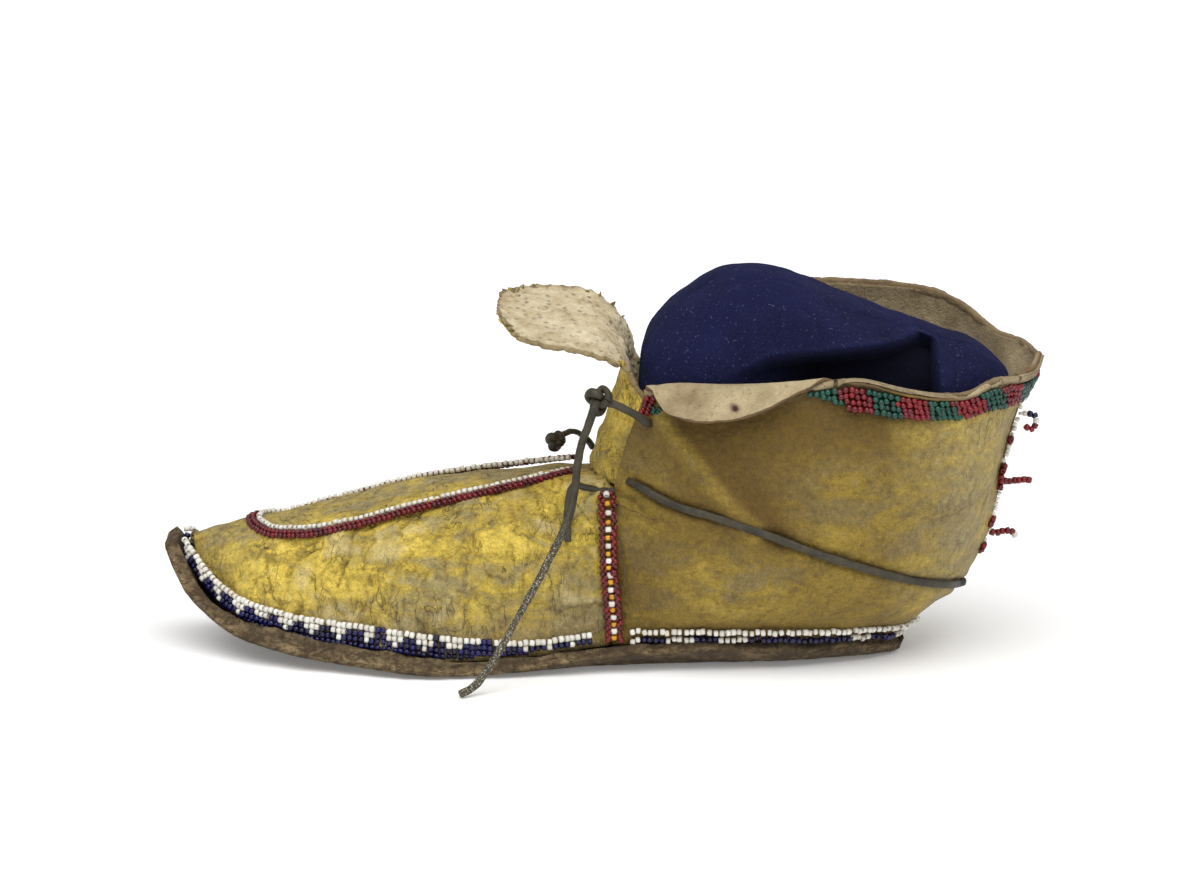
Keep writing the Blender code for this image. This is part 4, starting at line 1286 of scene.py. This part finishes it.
def make_sole():
    cells = (330, 130)
    s = np.linspace(0, 1, cells[0])[:, None]
    even = np.linspace(0, 1, cells[1])[None]
    t = 0.35 * (1 - np.cos(even * np.pi)) / 2 + 0.65 * even
    under = Patch(sole_surface, (0, 1), (0, 1), (90, 41)).at(s, t)
    along, across = np.gradient(under, axis=0), np.gradient(under, axis=1)
    up = unit(np.cross(along, across))
    if up[cells[0] // 2, cells[1] // 2, 2] < 0:
        up = -up
    width = np.linalg.norm(across, axis=-1).sum(axis=1, keepdims=True)
    steps = np.linalg.norm(np.diff(under[:, cells[1] // 2], axis=0), axis=-1)
    from_toe = np.concatenate([[0], np.cumsum(steps)])[:, None]
    from_ends = np.minimum(from_toe, from_toe[-1] - from_toe)
    inset = np.minimum(np.minimum(t, 1 - t) * width, from_ends)

    x = under[..., 0]
    edge = np.exp(-inset / 3)
    front = ramp(x, -20, -70) * (1 - 0.8 * ramp(x, -112, -132))
    rear = ramp(x, 20, 60)
    lip = bell(inset, 3.4) * (0.5 + 2.6 * front + 1.1 * rear) * (1 + 0.35 * rough(under, 8, 3, 89))
    thick = SOLE_THICK + rough(under, 14, 3, 90) * 0.45 - edge * 0.3 + lip
    side = np.sign(t - 0.5)[..., None] * unit(across)
    worn_in = rough(under, 12, 3, 91) * 1.2 + rough(under, 5, 2, 93) * 0.25 - rear
    under = under + side * (edge * worn_in)[..., None]
    leaning = edge * (rough(under, 9, 2, 97) * 0.6 - 0.5 * rear)
    top = under + up * thick[..., None] + side * leaning[..., None]
    hollows = np.abs(rough(under, 6, 3, 95)) * 0.25
    under = np.maximum(under + up * hollows[..., None], (-1e9, -1e9, 0))
    under = under + up * (edge * rear * 1.3)[..., None]

    count = cells[0] * cells[1]
    border = border_of(cells)
    low_rim, high_rim = under.reshape(-1, 3)[border], top.reshape(-1, 3)[border]
    run = np.gradient(low_rim, axis=0)
    bulge = unit(np.stack([run[:, 1], -run[:, 0], np.zeros(len(border))], axis=-1))
    ring_points = []
    for share, push in ((0.33, 0.7), (0.67, 0.3)):
        line = low_rim * (1 - share) + high_rim * share
        outward = bulge * np.sign((bulge * (line - (-20, 0, 0)))[..., :2].sum(axis=-1))[:, None]
        grain = rough(line * (0.6, 0.6, 1), 3.5, 3, 99)[:, None] * 0.4
        ring_points.append(line + outward * (push + grain))
    points = np.concatenate([under.reshape(-1, 3), top.reshape(-1, 3), *ring_points])
    ring = 2 * count + np.arange(len(border))
    rings = [border, ring, ring + len(border), count + border]
    walls = [wall(low, high) for low, high in zip(rings[:-1], rings[1:])]
    sheet = grid_faces(*cells)
    faces = np.concatenate([sheet[:, ::-1], sheet + count, *walls])

    # Painted shade: the top darker away from its edge, the upper wall darker than the lower, and
    # the walls darker towards the heel.
    on_top = np.clip(1.3 - edge * 1.2, 0, 1).ravel() * 0.5 + 0.3
    shade = 0.45 * np.clip(ring_points[0][:, 0] / 60 - 0.1, 0, 1)
    grime = np.concatenate([np.full(count, 0.45), on_top, shade * 0.8, shade * 0.7 + 0.45])
    materials = [MATERIALS["rawhide"]]
    obj = new_mesh("rawhide_sole_body", points, faces, materials, None, {"grime": grime})
    turn_outwards(obj)
    keep(obj, ["rawhide_sole"], "upper")


# Beadwork ------------------------------------------------------------------------------------


def columns(patch, u_range, v, pitch):
    """The u values of columns that are one pitch apart along a patch."""
    u = np.linspace(*u_range, 600)
    return np.interp(even_steps(patch.at(u, np.full_like(u, v)), pitch), np.arange(600), u)


def on_patch(patch, u, v, lift):
    """Places above a patch and the directions along u and across it."""
    points = patch.at(u, v) + patch.normal(u, v) * lift
    step = (patch.u_range[1] - patch.u_range[0]) * 0.004
    return points, unit(patch.at(u + step, v) - patch.at(u - step, v))


TOE_BAND_OUT, TOE_BAND_HEIGHT = 1.8, 7.2
STITCH_DEPTHS, LOW_STITCH_DEPTHS = (1, 2, 3, 2, 1), (1, 2, 1, 1)


def make_sole_beads():
    """The bands over the sole seam: columns of navy beads with white steps, and two rear rows."""
    for side, name, seed in ((-1, "lateral", 101), (1, "medial", 102)):

        def round_vamp(turn, v, side=side):
            low, high = BAND_FOOT, front_band_top(x_of(turn))
            return vamp_section(turn, vamp_t(turn, side, low + (high - low) * v))

        def round_toe(turn, v, side=side):
            """Round the toe the band stands upright on its own, in front of the hide."""
            foot, rim = feather(side, turn), np.append(outline(side, turn), 0)
            outward = unit((rim - foot) * (1, 1, 0)) * TOE_BAND_OUT
            rise = 1.2 + 2.6 * smooth_step(turn / 0.3)
            upright = foot + outward + np.array((0, 0, BAND_FOOT + rise + TOE_BAND_HEIGHT * v))
            share = smooth_step((0.62 - turn) / 0.4)
            return round_vamp(turn, v) * (1 - share) + upright * share

        front = Patch(round_toe, (TOE_TURN, SEAM_TURN - SEAM_CLEAR), (0, 1), (100, 7))
        work = BeadWork(seed)
        places = columns(front, front.u_range, 0.5, BEAD_PITCH)
        random = np.random.default_rng(seed)
        for index, u in enumerate(places):
            reach = (front_band_top(x_of(u)) - BAND_FOOT) / 2.05
            rows = max(int(round(reach + 0.6)), 2)
            depths = STITCH_DEPTHS if rows > 3 else LOW_STITCH_DEPTHS
            depth = depths[index % len(depths)] - (random.random() < 0.15)
            for row in range(rows):
                v = 1.04 - (row + 0.4) / reach
                point, along = on_patch(front, u, max(v, -0.1), 1.0)
                colour = WHITE if row < depth else NAVY
                work.add(point, along, colour, 1.12, 0.14, 0.12)
        node = f"{name}_sole_beads_front"
        work.make(f"{name}_front_bead_band", node)

        rear_face = lateral if side < 0 else medial
        rear = Patch(rear_face, (0.04, 0.985), (0.0, 0.12), (80, 9))
        work = BeadWork(seed + 10)
        low, high = REAR_BAND
        for row, v in enumerate((high * 0.8 + low * 0.2, low * 0.9)):
            u = columns(rear, (0.048, 0.972), v, BEAD_PITCH)
            u = u[random.random(len(u)) > 0.03]
            point, along = on_patch(rear, u, np.full_like(u, v), (1.2, 1.3)[row])
            colour = np.full(len(u), WHITE)
            if row == 1:
                colour = np.where(noise(point, 9, seed) > -0.08, WHITE, NAVY)
            work.add(point, along, colour, 1.08, 0.16, 0.2)
        node = f"{name}_sole_beads_rear"
        work.make(f"{name}_rear_bead_band", node)


def make_side_beads():
    for side, name, seed in ((-1, "lateral", 121), (1, "medial", 122)):

        def over_seam(height, across, side=side):
            point = vamp_section(SEAM_TURN, vamp_t(SEAM_TURN, side, height))
            return point + np.array((across, 0, 0))

        patch = Patch(over_seam, (1.0, 53.0), (-4, 4), (54, 9))
        work = BeadWork(seed)
        low, high = SIDE_STRIP_SPAN
        heights = np.arange(high - 0.9, low + 0.4, -1.05)

        def lean(height):
            """The strip leans a little towards the toe as it rises."""
            return np.interp(height, (4, 50), (1.4, -1.2)) + 0.25 * np.sin(height / 6)

        for column in (-1, 1):
            zig = np.where(np.arange(len(heights)) % 2, 0.5, -0.5)
            across = column * (1.85 + 0.7 * zig) + lean(heights)
            point, along = on_patch(patch, heights, across, SEAM_LIFT + 1.0)
            axis = along * 0.75 + np.array((column * 0.65, 0, 0))
            work.add(point, axis, RED, 1.02, 0.12, 0.12)
        middle = np.arange(high - 1.2, low + 0.6, -2.42)
        for index, height in enumerate(middle):
            point, along = on_patch(patch, height, lean(height), SEAM_LIFT + 1.35)
            colour, radius = (YELLOW, 1.0) if index % 2 else (WHITE, 1.14)
            work.add(point, along, colour, radius, 0.06, 0.12)
        point, along = on_patch(patch, 26.5, 1.5, SEAM_LIFT + 2.0)
        work.add(point, along + (0.8, 0, 0.2), RED, 1.2)
        work.make(f"{name}_seam_beads", f"{name}_side_beads")


OUTLINE_GAP = 2.95


def make_vamp_beads():
    for node, seed, pitch in (("vamp_beads_red", 131, 1.75), ("vamp_beads_white", 132, 1.9)):
        surface, up = VAMP_PLAN.at(smooth_path([(x, y, 0) for x, y in RED_OUTLINE], 300))
        if node == "vamp_beads_white":
            inward = unit(np.cross(up, np.gradient(surface, axis=0))) * -OUTLINE_GAP
            surface, up = VAMP_PLAN.at(surface + inward)
        work = BeadWork(seed)
        spots = even_steps(surface, pitch)
        point, along = read_path(surface, spots)
        lift = unit(read_path(up, spots)[0])
        across = unit(np.cross(lift, along))
        if node == "vamp_beads_red":
            for offset in (-0.78, 0.78):
                centre = point + across * offset + along * offset * 0.75 + lift * 1.1
                work.add(centre, across + along * 0.8, RED, 1.02, 0.08, 0.07)
        else:
            work.add(point + lift * 1.05, along, WHITE, 1.0, 0.12, 0.12)
        work.make(f"{node}_row", node)


COLLAR_PITCH = 1.9
COLLAR_BLOCK = 10.0
COLLAR_END_U = 0.985


def collar_band(work, patch, v_range, rows, seed, start, taper=0.0):
    """Slanted stitches of beads in blocks of red and green that also slant, the other way.

    Each row starts this far (taper) behind the one above it.
    """
    low, high = v_range
    u = columns(patch, (start, COLLAR_END_U), (low + high) / 2, COLLAR_PITCH)
    along_mm = np.arange(len(u)) * COLLAR_PITCH
    random = np.random.default_rng(seed)
    for row in range(rows):
        v = np.full_like(u, high - (high - low) * row / (rows - 1))
        shifted = u - row * 0.5 * (u[1] - u[0])
        point, along = on_patch(patch, shifted, v, 1.1)
        under = unit(patch.at(shifted, v - 0.02) - patch.at(shifted, v))
        place = along_mm - row * 2.5 + 0.8 * random.normal(size=len(u))
        block = np.floor(place / COLLAR_BLOCK + 1).astype(int) % 2
        colour = np.where(block == 0, SCARLET, GREEN)
        colour = np.where(random.random(len(u)) < 0.01, NAVY, colour)
        kept = (shifted > start + taper * (row + 1 / 3)) & (shifted < COLLAR_END_U)
        work.add(point[kept], (under - along * 0.85)[kept], colour[kept], 1.2, 0.2, 0.18)


def make_collar_beads():
    outer = Patch(lateral, (0.0, 1.0), (0.8, 1.0), (100, 25))
    inner = Patch(medial, (0.0, 1.0), (0.8, 1.0), (100, 25))
    work = BeadWork(141)
    collar_band(work, outer, (0.9, 0.966), 4, 142, 0.35, taper=0.03)
    work.make("lateral_collar_bead_band", "lateral_collar_beads")

    work = BeadWork(143)
    for row in range(5):
        for column in range(4 if row > 2 else 2):
            u, v = 0.012 + 0.0125 * column, 0.975 - row * 0.0165
            point, along = on_patch(outer, u, v, 1.0)
            work.add(point, along + (0, 0, 0.5), SCARLET if column < 2 else GREEN, 1.05)
    work.make("lateral_corner_bead_patch", "lateral_collar_corner_beads")

    work = BeadWork(144)
    collar_band(work, inner, (0.905, 0.965), 5, 145, 0.16)
    work.make("medial_collar_bead_band", "medial_collar_beads")


# The upper strand, bent to a ring (out, up), and where the seam's red clusters are (z).
RING = ((-1.2, 0.6), (0.6, 1.0), (2.8, 0.2), (3.7, -2.2), (2.7, -4.4), (1.0, -4.6), (0.1, -3.2))


RING_COLOURS = np.array((WHITE, NAVY, NAVY, WHITE, SCARLET, SCARLET, SCARLET, WHITE))
HEEL_CLUSTERS = ((30, 37), (41, 46), (55, 64), (71, 73))
HEEL_PITCH, STRAND_PITCH = 1.9, 1.75
HEEL_LIFT = 0.5
STRAND_REACH = HEEL_BEAD + GAP + 0.5


def make_heel_beads():
    """White beads down the heel seam with red clusters, and short strands that stand out."""
    out = np.array((math.cos(HEEL_LEAN), 0, -math.sin(HEEL_LEAN)))
    path = np.array([heel_line(v) + out * HEEL_LIFT for v in np.linspace(0.3, 0.875, 120)])
    point, along = read_path(path, even_steps(path, HEEL_PITCH))
    work = BeadWork(151)
    red = np.array([any(low < z < high for low, high in HEEL_CLUSTERS) for z in point[:, 2]])
    radii = np.where(red, 1.15, 0.9)
    work.add(point, along, np.where(red, SCARLET, WHITE), radii, 0.25, 0.25)
    for sideways in (-1.7, 1.7):
        spot = point[red] + (0.0, sideways, 0.4)
        work.add(spot, along[red] + (0, 0.5, 0), SCARLET, 1.05, 0.25, 0.25)
    work.make("heel_seam_bead_column", "heel_seam_beads")

    for index, (name, height, strand) in enumerate(DANGLES):
        root = heel_line(heel_v(height)) + out * STRAND_REACH
        strand = RING if index == 0 else ((-1.9, 0.4), *strand)
        path = smooth_path([root + np.array((x, 0, z)) for x, z in strand], 40)
        point, along = read_path(path, even_steps(path, STRAND_PITCH))
        work = BeadWork(155 + index)
        colours = np.full(len(point), SCARLET)
        if index == 0:
            colours = RING_COLOURS[np.arange(len(point)) % len(RING_COLOURS)]
        elif index == 2:
            colours[-1] = WHITE
        work.add(point, along, colours, 1.12 if index == 0 else 1.25, 0.14, 0.1)
        work.make(f"{name}_strand", name, name.replace("heel_", ""))


# Lace ----------------------------------------------------------------------------------------


def swept(
    name, path, size, facing, material, seed, relief=0.12, tip=0.8, worn=2.0, grow=1, sides=14
):
    """A lace of this width and thickness along a path, whose flat face looks the way of facing.

    It widens from tip over its first grow rings, and is worn from this share of its length on.
    """
    path = np.asarray(path, float)
    along = unit(np.gradient(path, axis=0))
    up = unit(facing - (facing * along).sum(axis=-1, keepdims=True) * along)
    side = np.cross(along, up)
    turn = np.arange(sides) / sides * 2 * np.pi
    across, rise = (
        np.sign(wave) * np.abs(wave) ** 0.75 * length / 2
        for wave, length in zip((np.cos(turn), np.sin(turn)), size)
    )
    scale = tip + (1 - tip) * np.clip(np.arange(len(path)) / grow, 0, 1)
    scale[-1] = tip
    ring = side[:, None] * across[None, :, None] + up[:, None] * rise[None, :, None]
    points = path[:, None] + ring * scale[:, None, None]
    uneven = rough(points, 3.5, 3, seed) * relief + rough(points, 1.2, 2, seed + 5) * relief * 0.4
    points = (points + unit(ring) * uneven[..., None]).reshape(-1, 3)
    share = np.repeat(np.linspace(0, 1, len(path)), sides)
    values = {"worn": np.clip((share - worn) / 0.15, 0, 1)}
    faces = grid_faces(len(path), sides, True)
    obj = new_mesh(name, points, faces, [MATERIALS[material]], None, values)
    turn_outwards(obj, capped=True)
    return obj


def lace_line(surface, u_start, u_end, count, lift):
    """The drawstring's run over a quarter, this far above the hide."""
    height_at = spline(LACE_ON_QUARTER)
    points = []
    for u in np.linspace(u_start, u_end, count):
        v = at_height(surface, u, height_at(u))
        points.append(surface(u, v) + normal_at(surface, u, v) * lift)
    return points


LACE_FROM_KNOT = ((-0.8, -36.2, 93.6), (-2.2, -37.8, 90.6))
SHORT_STRAND = ((-10.8, -34.6), (-11, -32.6), (-10.8, -30.4), (-10.4, -27.6), (-9.6, -24.4))


def lace_piece(name, node, path, size, facing, seed, **shape):
    obj = swept(name, path, size, facing, "lace", seed, **shape)
    return keep(obj, [node], "upper")


def make_laces():
    hanging = smooth_path([*LACE_FROM_KNOT, *FREE_END], 28)
    path = smooth_path(hanging, 150)
    turn = np.linspace(0.4, 2.6, len(path))[:, None]
    facing = np.cos(turn) * np.array((0.2, -1, 0.3)) + np.sin(turn) * np.array((0.9, -0.3, 0.5))
    names = "drawstring_hanging_end", "drawstring_free_end"
    free = lace_piece(*names, path, (LACE, 2.2), facing, 160, tip=0.96, worn=0.35)

    start = lace_line(lateral, 0.045, 0.975, 30, 0.75)
    end = lace_line(medial, 0.975, 0.05, 30, 0.75)
    heel = heel_line(heel_v(LACE_ON_QUARTER[-1][1])) + np.array((LACE / 2 + 0.6, 0, 0))
    bends = np.array(start + [heel] + end)
    bends[0] += (-1.5, 2.4, 0.4)
    bends[-1] += (-1.5, -2.4, 0.4)
    path = smooth_path(bends, 520)
    facing = unit(outwards(path) * (1, 1, 0.1))
    lace_piece("drawstring_round_heel", "drawstring_heel_run", path, (2.6, 1.8), facing, 165)

    plan = [*SHORT_STRAND, *FRONT_RUN, (5.2, -26.2)]
    path, facing = VAMP_PLAN.at(smooth_path([(x, y, 0) for x, y in plan], 130))
    path = path + facing * 1.2
    lace_piece("drawstring_instep_run", "drawstring_front_run", path, (2.5, 1.7), facing, 170)

    path = smooth_path([(1.5, -35.0, 92.6), *COLLAR_END, (16.6, -30.4, 84.6)], 90)
    facing = np.array((0.0, -1.0, 0.4))
    lace_piece("drawstring_to_collar", "drawstring_collar_end", path, (2.7, 2.0), facing, 175)

    path = smooth_path([(-2.4, 29, 63), *MEDIAL_END, (-14, 17.4, 70)], 90)
    facing = np.array((0.2, 0.4, 1.0))
    lace_piece("drawstring_inner_end", "drawstring_medial_end", path, (2.6, 1.9), facing, 180)

    t = np.linspace(0, 2 * np.pi, 160, endpoint=False) + 0.6
    loop = (np.sin(t) + 2 * np.sin(2 * t), -np.sin(3 * t), np.cos(t) - 2 * np.cos(2 * t))
    for node, centre, radii, seed in (
        ("drawstring_knot", KNOT, KNOT_RADII, 185),
        ("drawstring_medial_knot", MEDIAL_KNOT, MEDIAL_KNOT_RADII, 190),
    ):
        room = (np.array(radii) + (0.5, 0.3, 0.0) - 1.05) / (3, 1, 3)
        path = np.stack(loop, axis=-1) * room + centre
        path = np.concatenate([path, path[:1]])
        lace_piece(f"{node}_tied", node, path, (3.1, 2.4), unit(path - centre), seed)


def make_rims():
    """The hide's rim, rolled over: a thick soft edge round the heel and the inner side."""
    outer = [lateral(u, 1.0) for u in np.linspace(0.3, 0.99, 60)]
    inner = [medial_panel(u, 1.0) for u in np.linspace(0.99, 0.015, 90)]
    path = smooth_path(outer + inner, 840)
    path[:, 2] -= 0.4
    path = path + rough(path, 9, 3, 220)[:, None] * 0.25
    facing = unit(outwards(path) * (1, 1, 0.0))
    shape = {"relief": 0.22, "tip": 0.6, "grow": 60, "sides": 16}
    obj = swept("rolled_rim", path - facing * 0.7, (3.3, 2.5), facing, "roll", 221, **shape)
    keep(obj, [], "upper")


def make_threads():
    """Loose ends of the sinew that the beads are sewn with."""
    seam = (6.6, -41.2, 47), (8.0, -42.0, 40), (8.4, -42.4, 33), (7.4, -42.6, 27)
    across = (6.2, -37.6, 56.5), (10, -38.6, 55.4), (15, -39.4, 53.8), (20, -41.6, 53.2)
    lines = ("seam_thread", seam, 0.45), ("quarter_thread", across, 0.3)
    patch = Patch(lateral, (0, 0.35), (0.1, 0.7), (24, 24))
    steps = np.linspace(0, 0.35, 160), np.linspace(0.1, 0.7, 160)
    u, v = np.meshgrid(*steps, indexing="ij")
    grid, normals = patch.at(u, v).reshape(-1, 3), patch.normal(u, v).reshape(-1, 3)
    for name, points, width in lines:
        path = smooth_path(points, 50)
        near = ((path[:, None] - grid)[..., [0, 2]] ** 2).sum(axis=-1).argmin(axis=1)
        path = grid[near] + normals[near] * 0.8
        path = smooth_path(path[::5], 50)
        path += rough(path, 5, 2, 195)[:, None] * (0.4, 0, 0.3)
        facing = np.array((0.0, -1.0, 0.2))
        obj = swept(name, path, (width, width), facing, "thread", 196, relief=0.03, sides=6)
        keep(obj, [], "upper")


# Cloth ---------------------------------------------------------------------------------------

CLOTH_RIDGE = (
    (36, 97), (40, 99), (47, 102), (57, 107), (73, 107.8), (91, 109), (108, 112), (113, 110),
    (116, 104),
)
CLOTH_VOXEL = 3.0
CLOTH_SWELL_LIMIT = 2.2


def cloth_block():
    """The closed bundle before it is puffed: the CAD part's crown and straight sides."""
    cells = (70, 50)
    first, last = FILL_CROWN[0][0], FILL_CROWN[-1][0]
    turns = np.linspace(0, math.pi, cells[0])
    xs = first + (last - first) * (1 - np.cos(turns)) / 2
    across = np.sin(np.linspace(-math.pi / 2, math.pi / 2, cells[1]))
    top = np.array([[fill_top(x, a) for a in across] for x in xs])
    bottom = top.copy()
    bottom[..., 2] = np.array([fill_bottom(x) for x in xs])[:, None]
    count = cells[0] * cells[1]
    border, sheet = border_of(cells), grid_faces(*cells)
    points = np.concatenate([top.reshape(-1, 3), bottom.reshape(-1, 3)])
    faces = np.concatenate([sheet, sheet[:, ::-1] + count, wall(border, border + count)])
    return new_mesh("cloth_bundle", points, faces, [MATERIALS["cloth"]])


def baked(obj):
    """Replaces an object's mesh by its evaluated one, with no modifier left."""
    bpy.context.view_layer.update()
    graph = bpy.context.evaluated_depsgraph_get()
    mesh = bpy.data.meshes.new_from_object(obj.evaluated_get(graph))
    obj.modifiers.clear()
    old, obj.data = obj.data, mesh
    bpy.data.meshes.remove(old)
    return obj


def coordinates(mesh, attribute="co"):
    values = np.empty(len(mesh.vertices) * 3, np.float32)
    mesh.vertices.foreach_get(attribute, values)
    return values.reshape(-1, 3).astype(float)


def store(mesh, points):
    mesh.vertices.foreach_set("co", points.ravel())
    mesh.update()


def puffed(obj):
    """A short run of cloth under pressure, with a cap on how far a point may move."""
    before = coordinates(obj.data)
    cloth = obj.modifiers.new("cloth", "CLOTH")
    cloth.settings.quality = 6
    cloth.settings.mass = 0.3
    cloth.settings.tension_stiffness = 20
    cloth.settings.compression_stiffness = 8
    cloth.settings.bending_stiffness = 0.6
    cloth.settings.use_pressure = True
    cloth.settings.uniform_pressure_force = 2.5
    cloth.settings.effector_weights.gravity = 0
    scene = bpy.context.scene
    for step in range(1, 21):
        scene.frame_set(step)
    baked(obj)
    scene.frame_set(1)
    moved = coordinates(obj.data) - before
    lengths = np.linalg.norm(moved, axis=1, keepdims=True)
    limit = CLOTH_SWELL_LIMIT * MM
    share = limit * np.tanh(lengths / limit) / np.maximum(lengths, 1e-9)
    store(obj.data, before + moved * share)
    return obj


def make_cloth():
    obj = cloth_block()
    turn_outwards(obj)
    remesh = obj.modifiers.new("remesh", "REMESH")
    remesh.mode = "VOXEL"
    remesh.voxel_size = CLOTH_VOXEL * MM
    baked(obj)
    puffed(obj)
    finer = obj.modifiers.new("finer", "SUBSURF")
    finer.levels = finer.render_levels = 2
    baked(obj)

    points = coordinates(obj.data) / MM + ORIGIN
    obj.data.update()
    normals = coordinates(obj.data, "normal")
    x, y, z = points.T
    ridge = np.interp(x, *np.array(CLOTH_RIDGE, float).T)
    below = 1 / (1 + np.exp(-(ridge - z - 0.5) / 0.5))
    opening = np.interp(x, (44, 70, 111.5, 113.5), (0, 1, 1, 0))
    outer_side = ramp(y, -8, -14)
    depth = np.clip((ridge - z) / 5, 0, 1)
    hollow = outer_side * opening * below
    points[:, 1] += hollow * (4 + 11 * depth)
    points[:, 0] -= 0.6 * ramp(x, 30, 14) * ramp(z, 98, 106)
    lip = bell(z - ridge - 0.6, 1.5) * outer_side
    lip *= np.interp(x, (40, 52, 112, 116), (0, 1, 1, 0))
    points += normals * (lip * 1.0)[:, None]
    points[:, 2] += lip * 0.6
    height = rough(points, 26, 2, 201) * 1.3 + rough(points, 9, 3, 205) * 0.35
    drape = 1 - np.abs(noise(points * (0.5, 1, 0.8), 15, 209))
    height -= np.clip(drape, 0, 1) ** 8 * 0.5
    points += normals * (height * ramp(z, 90, 100))[:, None]
    store(obj.data, placed(points))
    # How dark the hollow under the fold is painted: painted shade, deeper further below the ridge.
    layer = obj.data.attributes.new("hollow", "FLOAT", "POINT")
    layer.data.foreach_set("value", (hollow * np.clip(depth * 1.6, 0, 0.85)).astype(np.float32))
    obj.data.materials.clear()
    obj.data.materials.append(MATERIALS["cloth"])
    obj.data.shade_smooth()
    keep(obj, ["cloth_filling"], "filling")


# Floor, light and camera -----------------------------------------------------------------------

VIEW_TARGET = (0, 0, 70.7)
VIEW_DISTANCE = 1500.0
VIEW_ELEVATION = math.radians(12.5)
VIEW_LENS = 131.9
# Each light: its name, where it shines from, its spread in degrees and its power.
LIGHTS = (("key", (-0.08, -0.6, 1.3), 60, 2.0), ("fill", (0.9, -0.8, 0.8), 70, 0.4))
FLOOR_GLOW, ROOM_LIGHT = 0.14, 0.46


def aimed(obj, target):
    obj.rotation_euler = (Vector(target) - obj.location).to_track_quat("-Z", "Y").to_euler()


def make_camera():
    data = bpy.data.cameras.new("camera")
    data.lens = VIEW_LENS
    data.sensor_width = 36
    camera = linked("camera", data)
    out = np.array((0, -math.cos(VIEW_ELEVATION), math.sin(VIEW_ELEVATION)))
    camera.location = placed(np.array(VIEW_TARGET) + out * VIEW_DISTANCE)
    aimed(camera, placed(VIEW_TARGET))
    bpy.context.scene.camera = camera


def make_light(name, place, spread, power):
    """A soft light from far away, which reaches the whole floor evenly."""
    data = bpy.data.lights.new(name, "SUN")
    data.angle = math.radians(spread)
    data.energy = power
    light = linked(name, data)
    light.location = place
    aimed(light, (0, 0, 0))


def make_studio():
    mesh = bpy.data.meshes.new("floor")
    work = bmesh.new()
    bmesh.ops.create_grid(work, x_segments=1, y_segments=1, size=6)
    work.to_mesh(mesh)
    work.free()
    floor = linked("floor", mesh)
    paper = Surface("paper", 0.9)
    paper.set("Base Color", (0.96, 0.96, 0.96, 1))
    paper.set("Emission Color", (1, 1, 1, 1))
    paper.set("Emission Strength", FLOOR_GLOW)
    mesh.materials.append(paper.material)

    world = bpy.data.worlds.new("studio")
    bpy.context.scene.world = world
    world.use_nodes = True
    tree = world.node_tree
    background = tree.nodes["Background"]
    background.inputs["Color"].default_value = (1, 1, 1, 1)
    rays = tree.nodes.new("ShaderNodeLightPath")
    level = tree.nodes.new("ShaderNodeMapRange")
    level.inputs["To Min"].default_value = ROOM_LIGHT
    level.inputs["To Max"].default_value = 1.0
    tree.links.new(rays.outputs["Is Camera Ray"], level.inputs["Value"])
    tree.links.new(level.outputs["Result"], background.inputs["Strength"])
    for light in LIGHTS:
        make_light(*light)
    bpy.context.scene.view_settings.view_transform = "Standard"


def main():
    make_camera()
    make_laces()
    make_sole()
    make_vamp()
    make_lateral_quarter()
    make_medial_quarter()
    make_tongue()
    make_sole_beads()
    make_side_beads()
    make_vamp_beads()
    make_collar_beads()
    make_heel_beads()
    make_rims()
    make_threads()
    make_cloth()
    make_studio()


main()
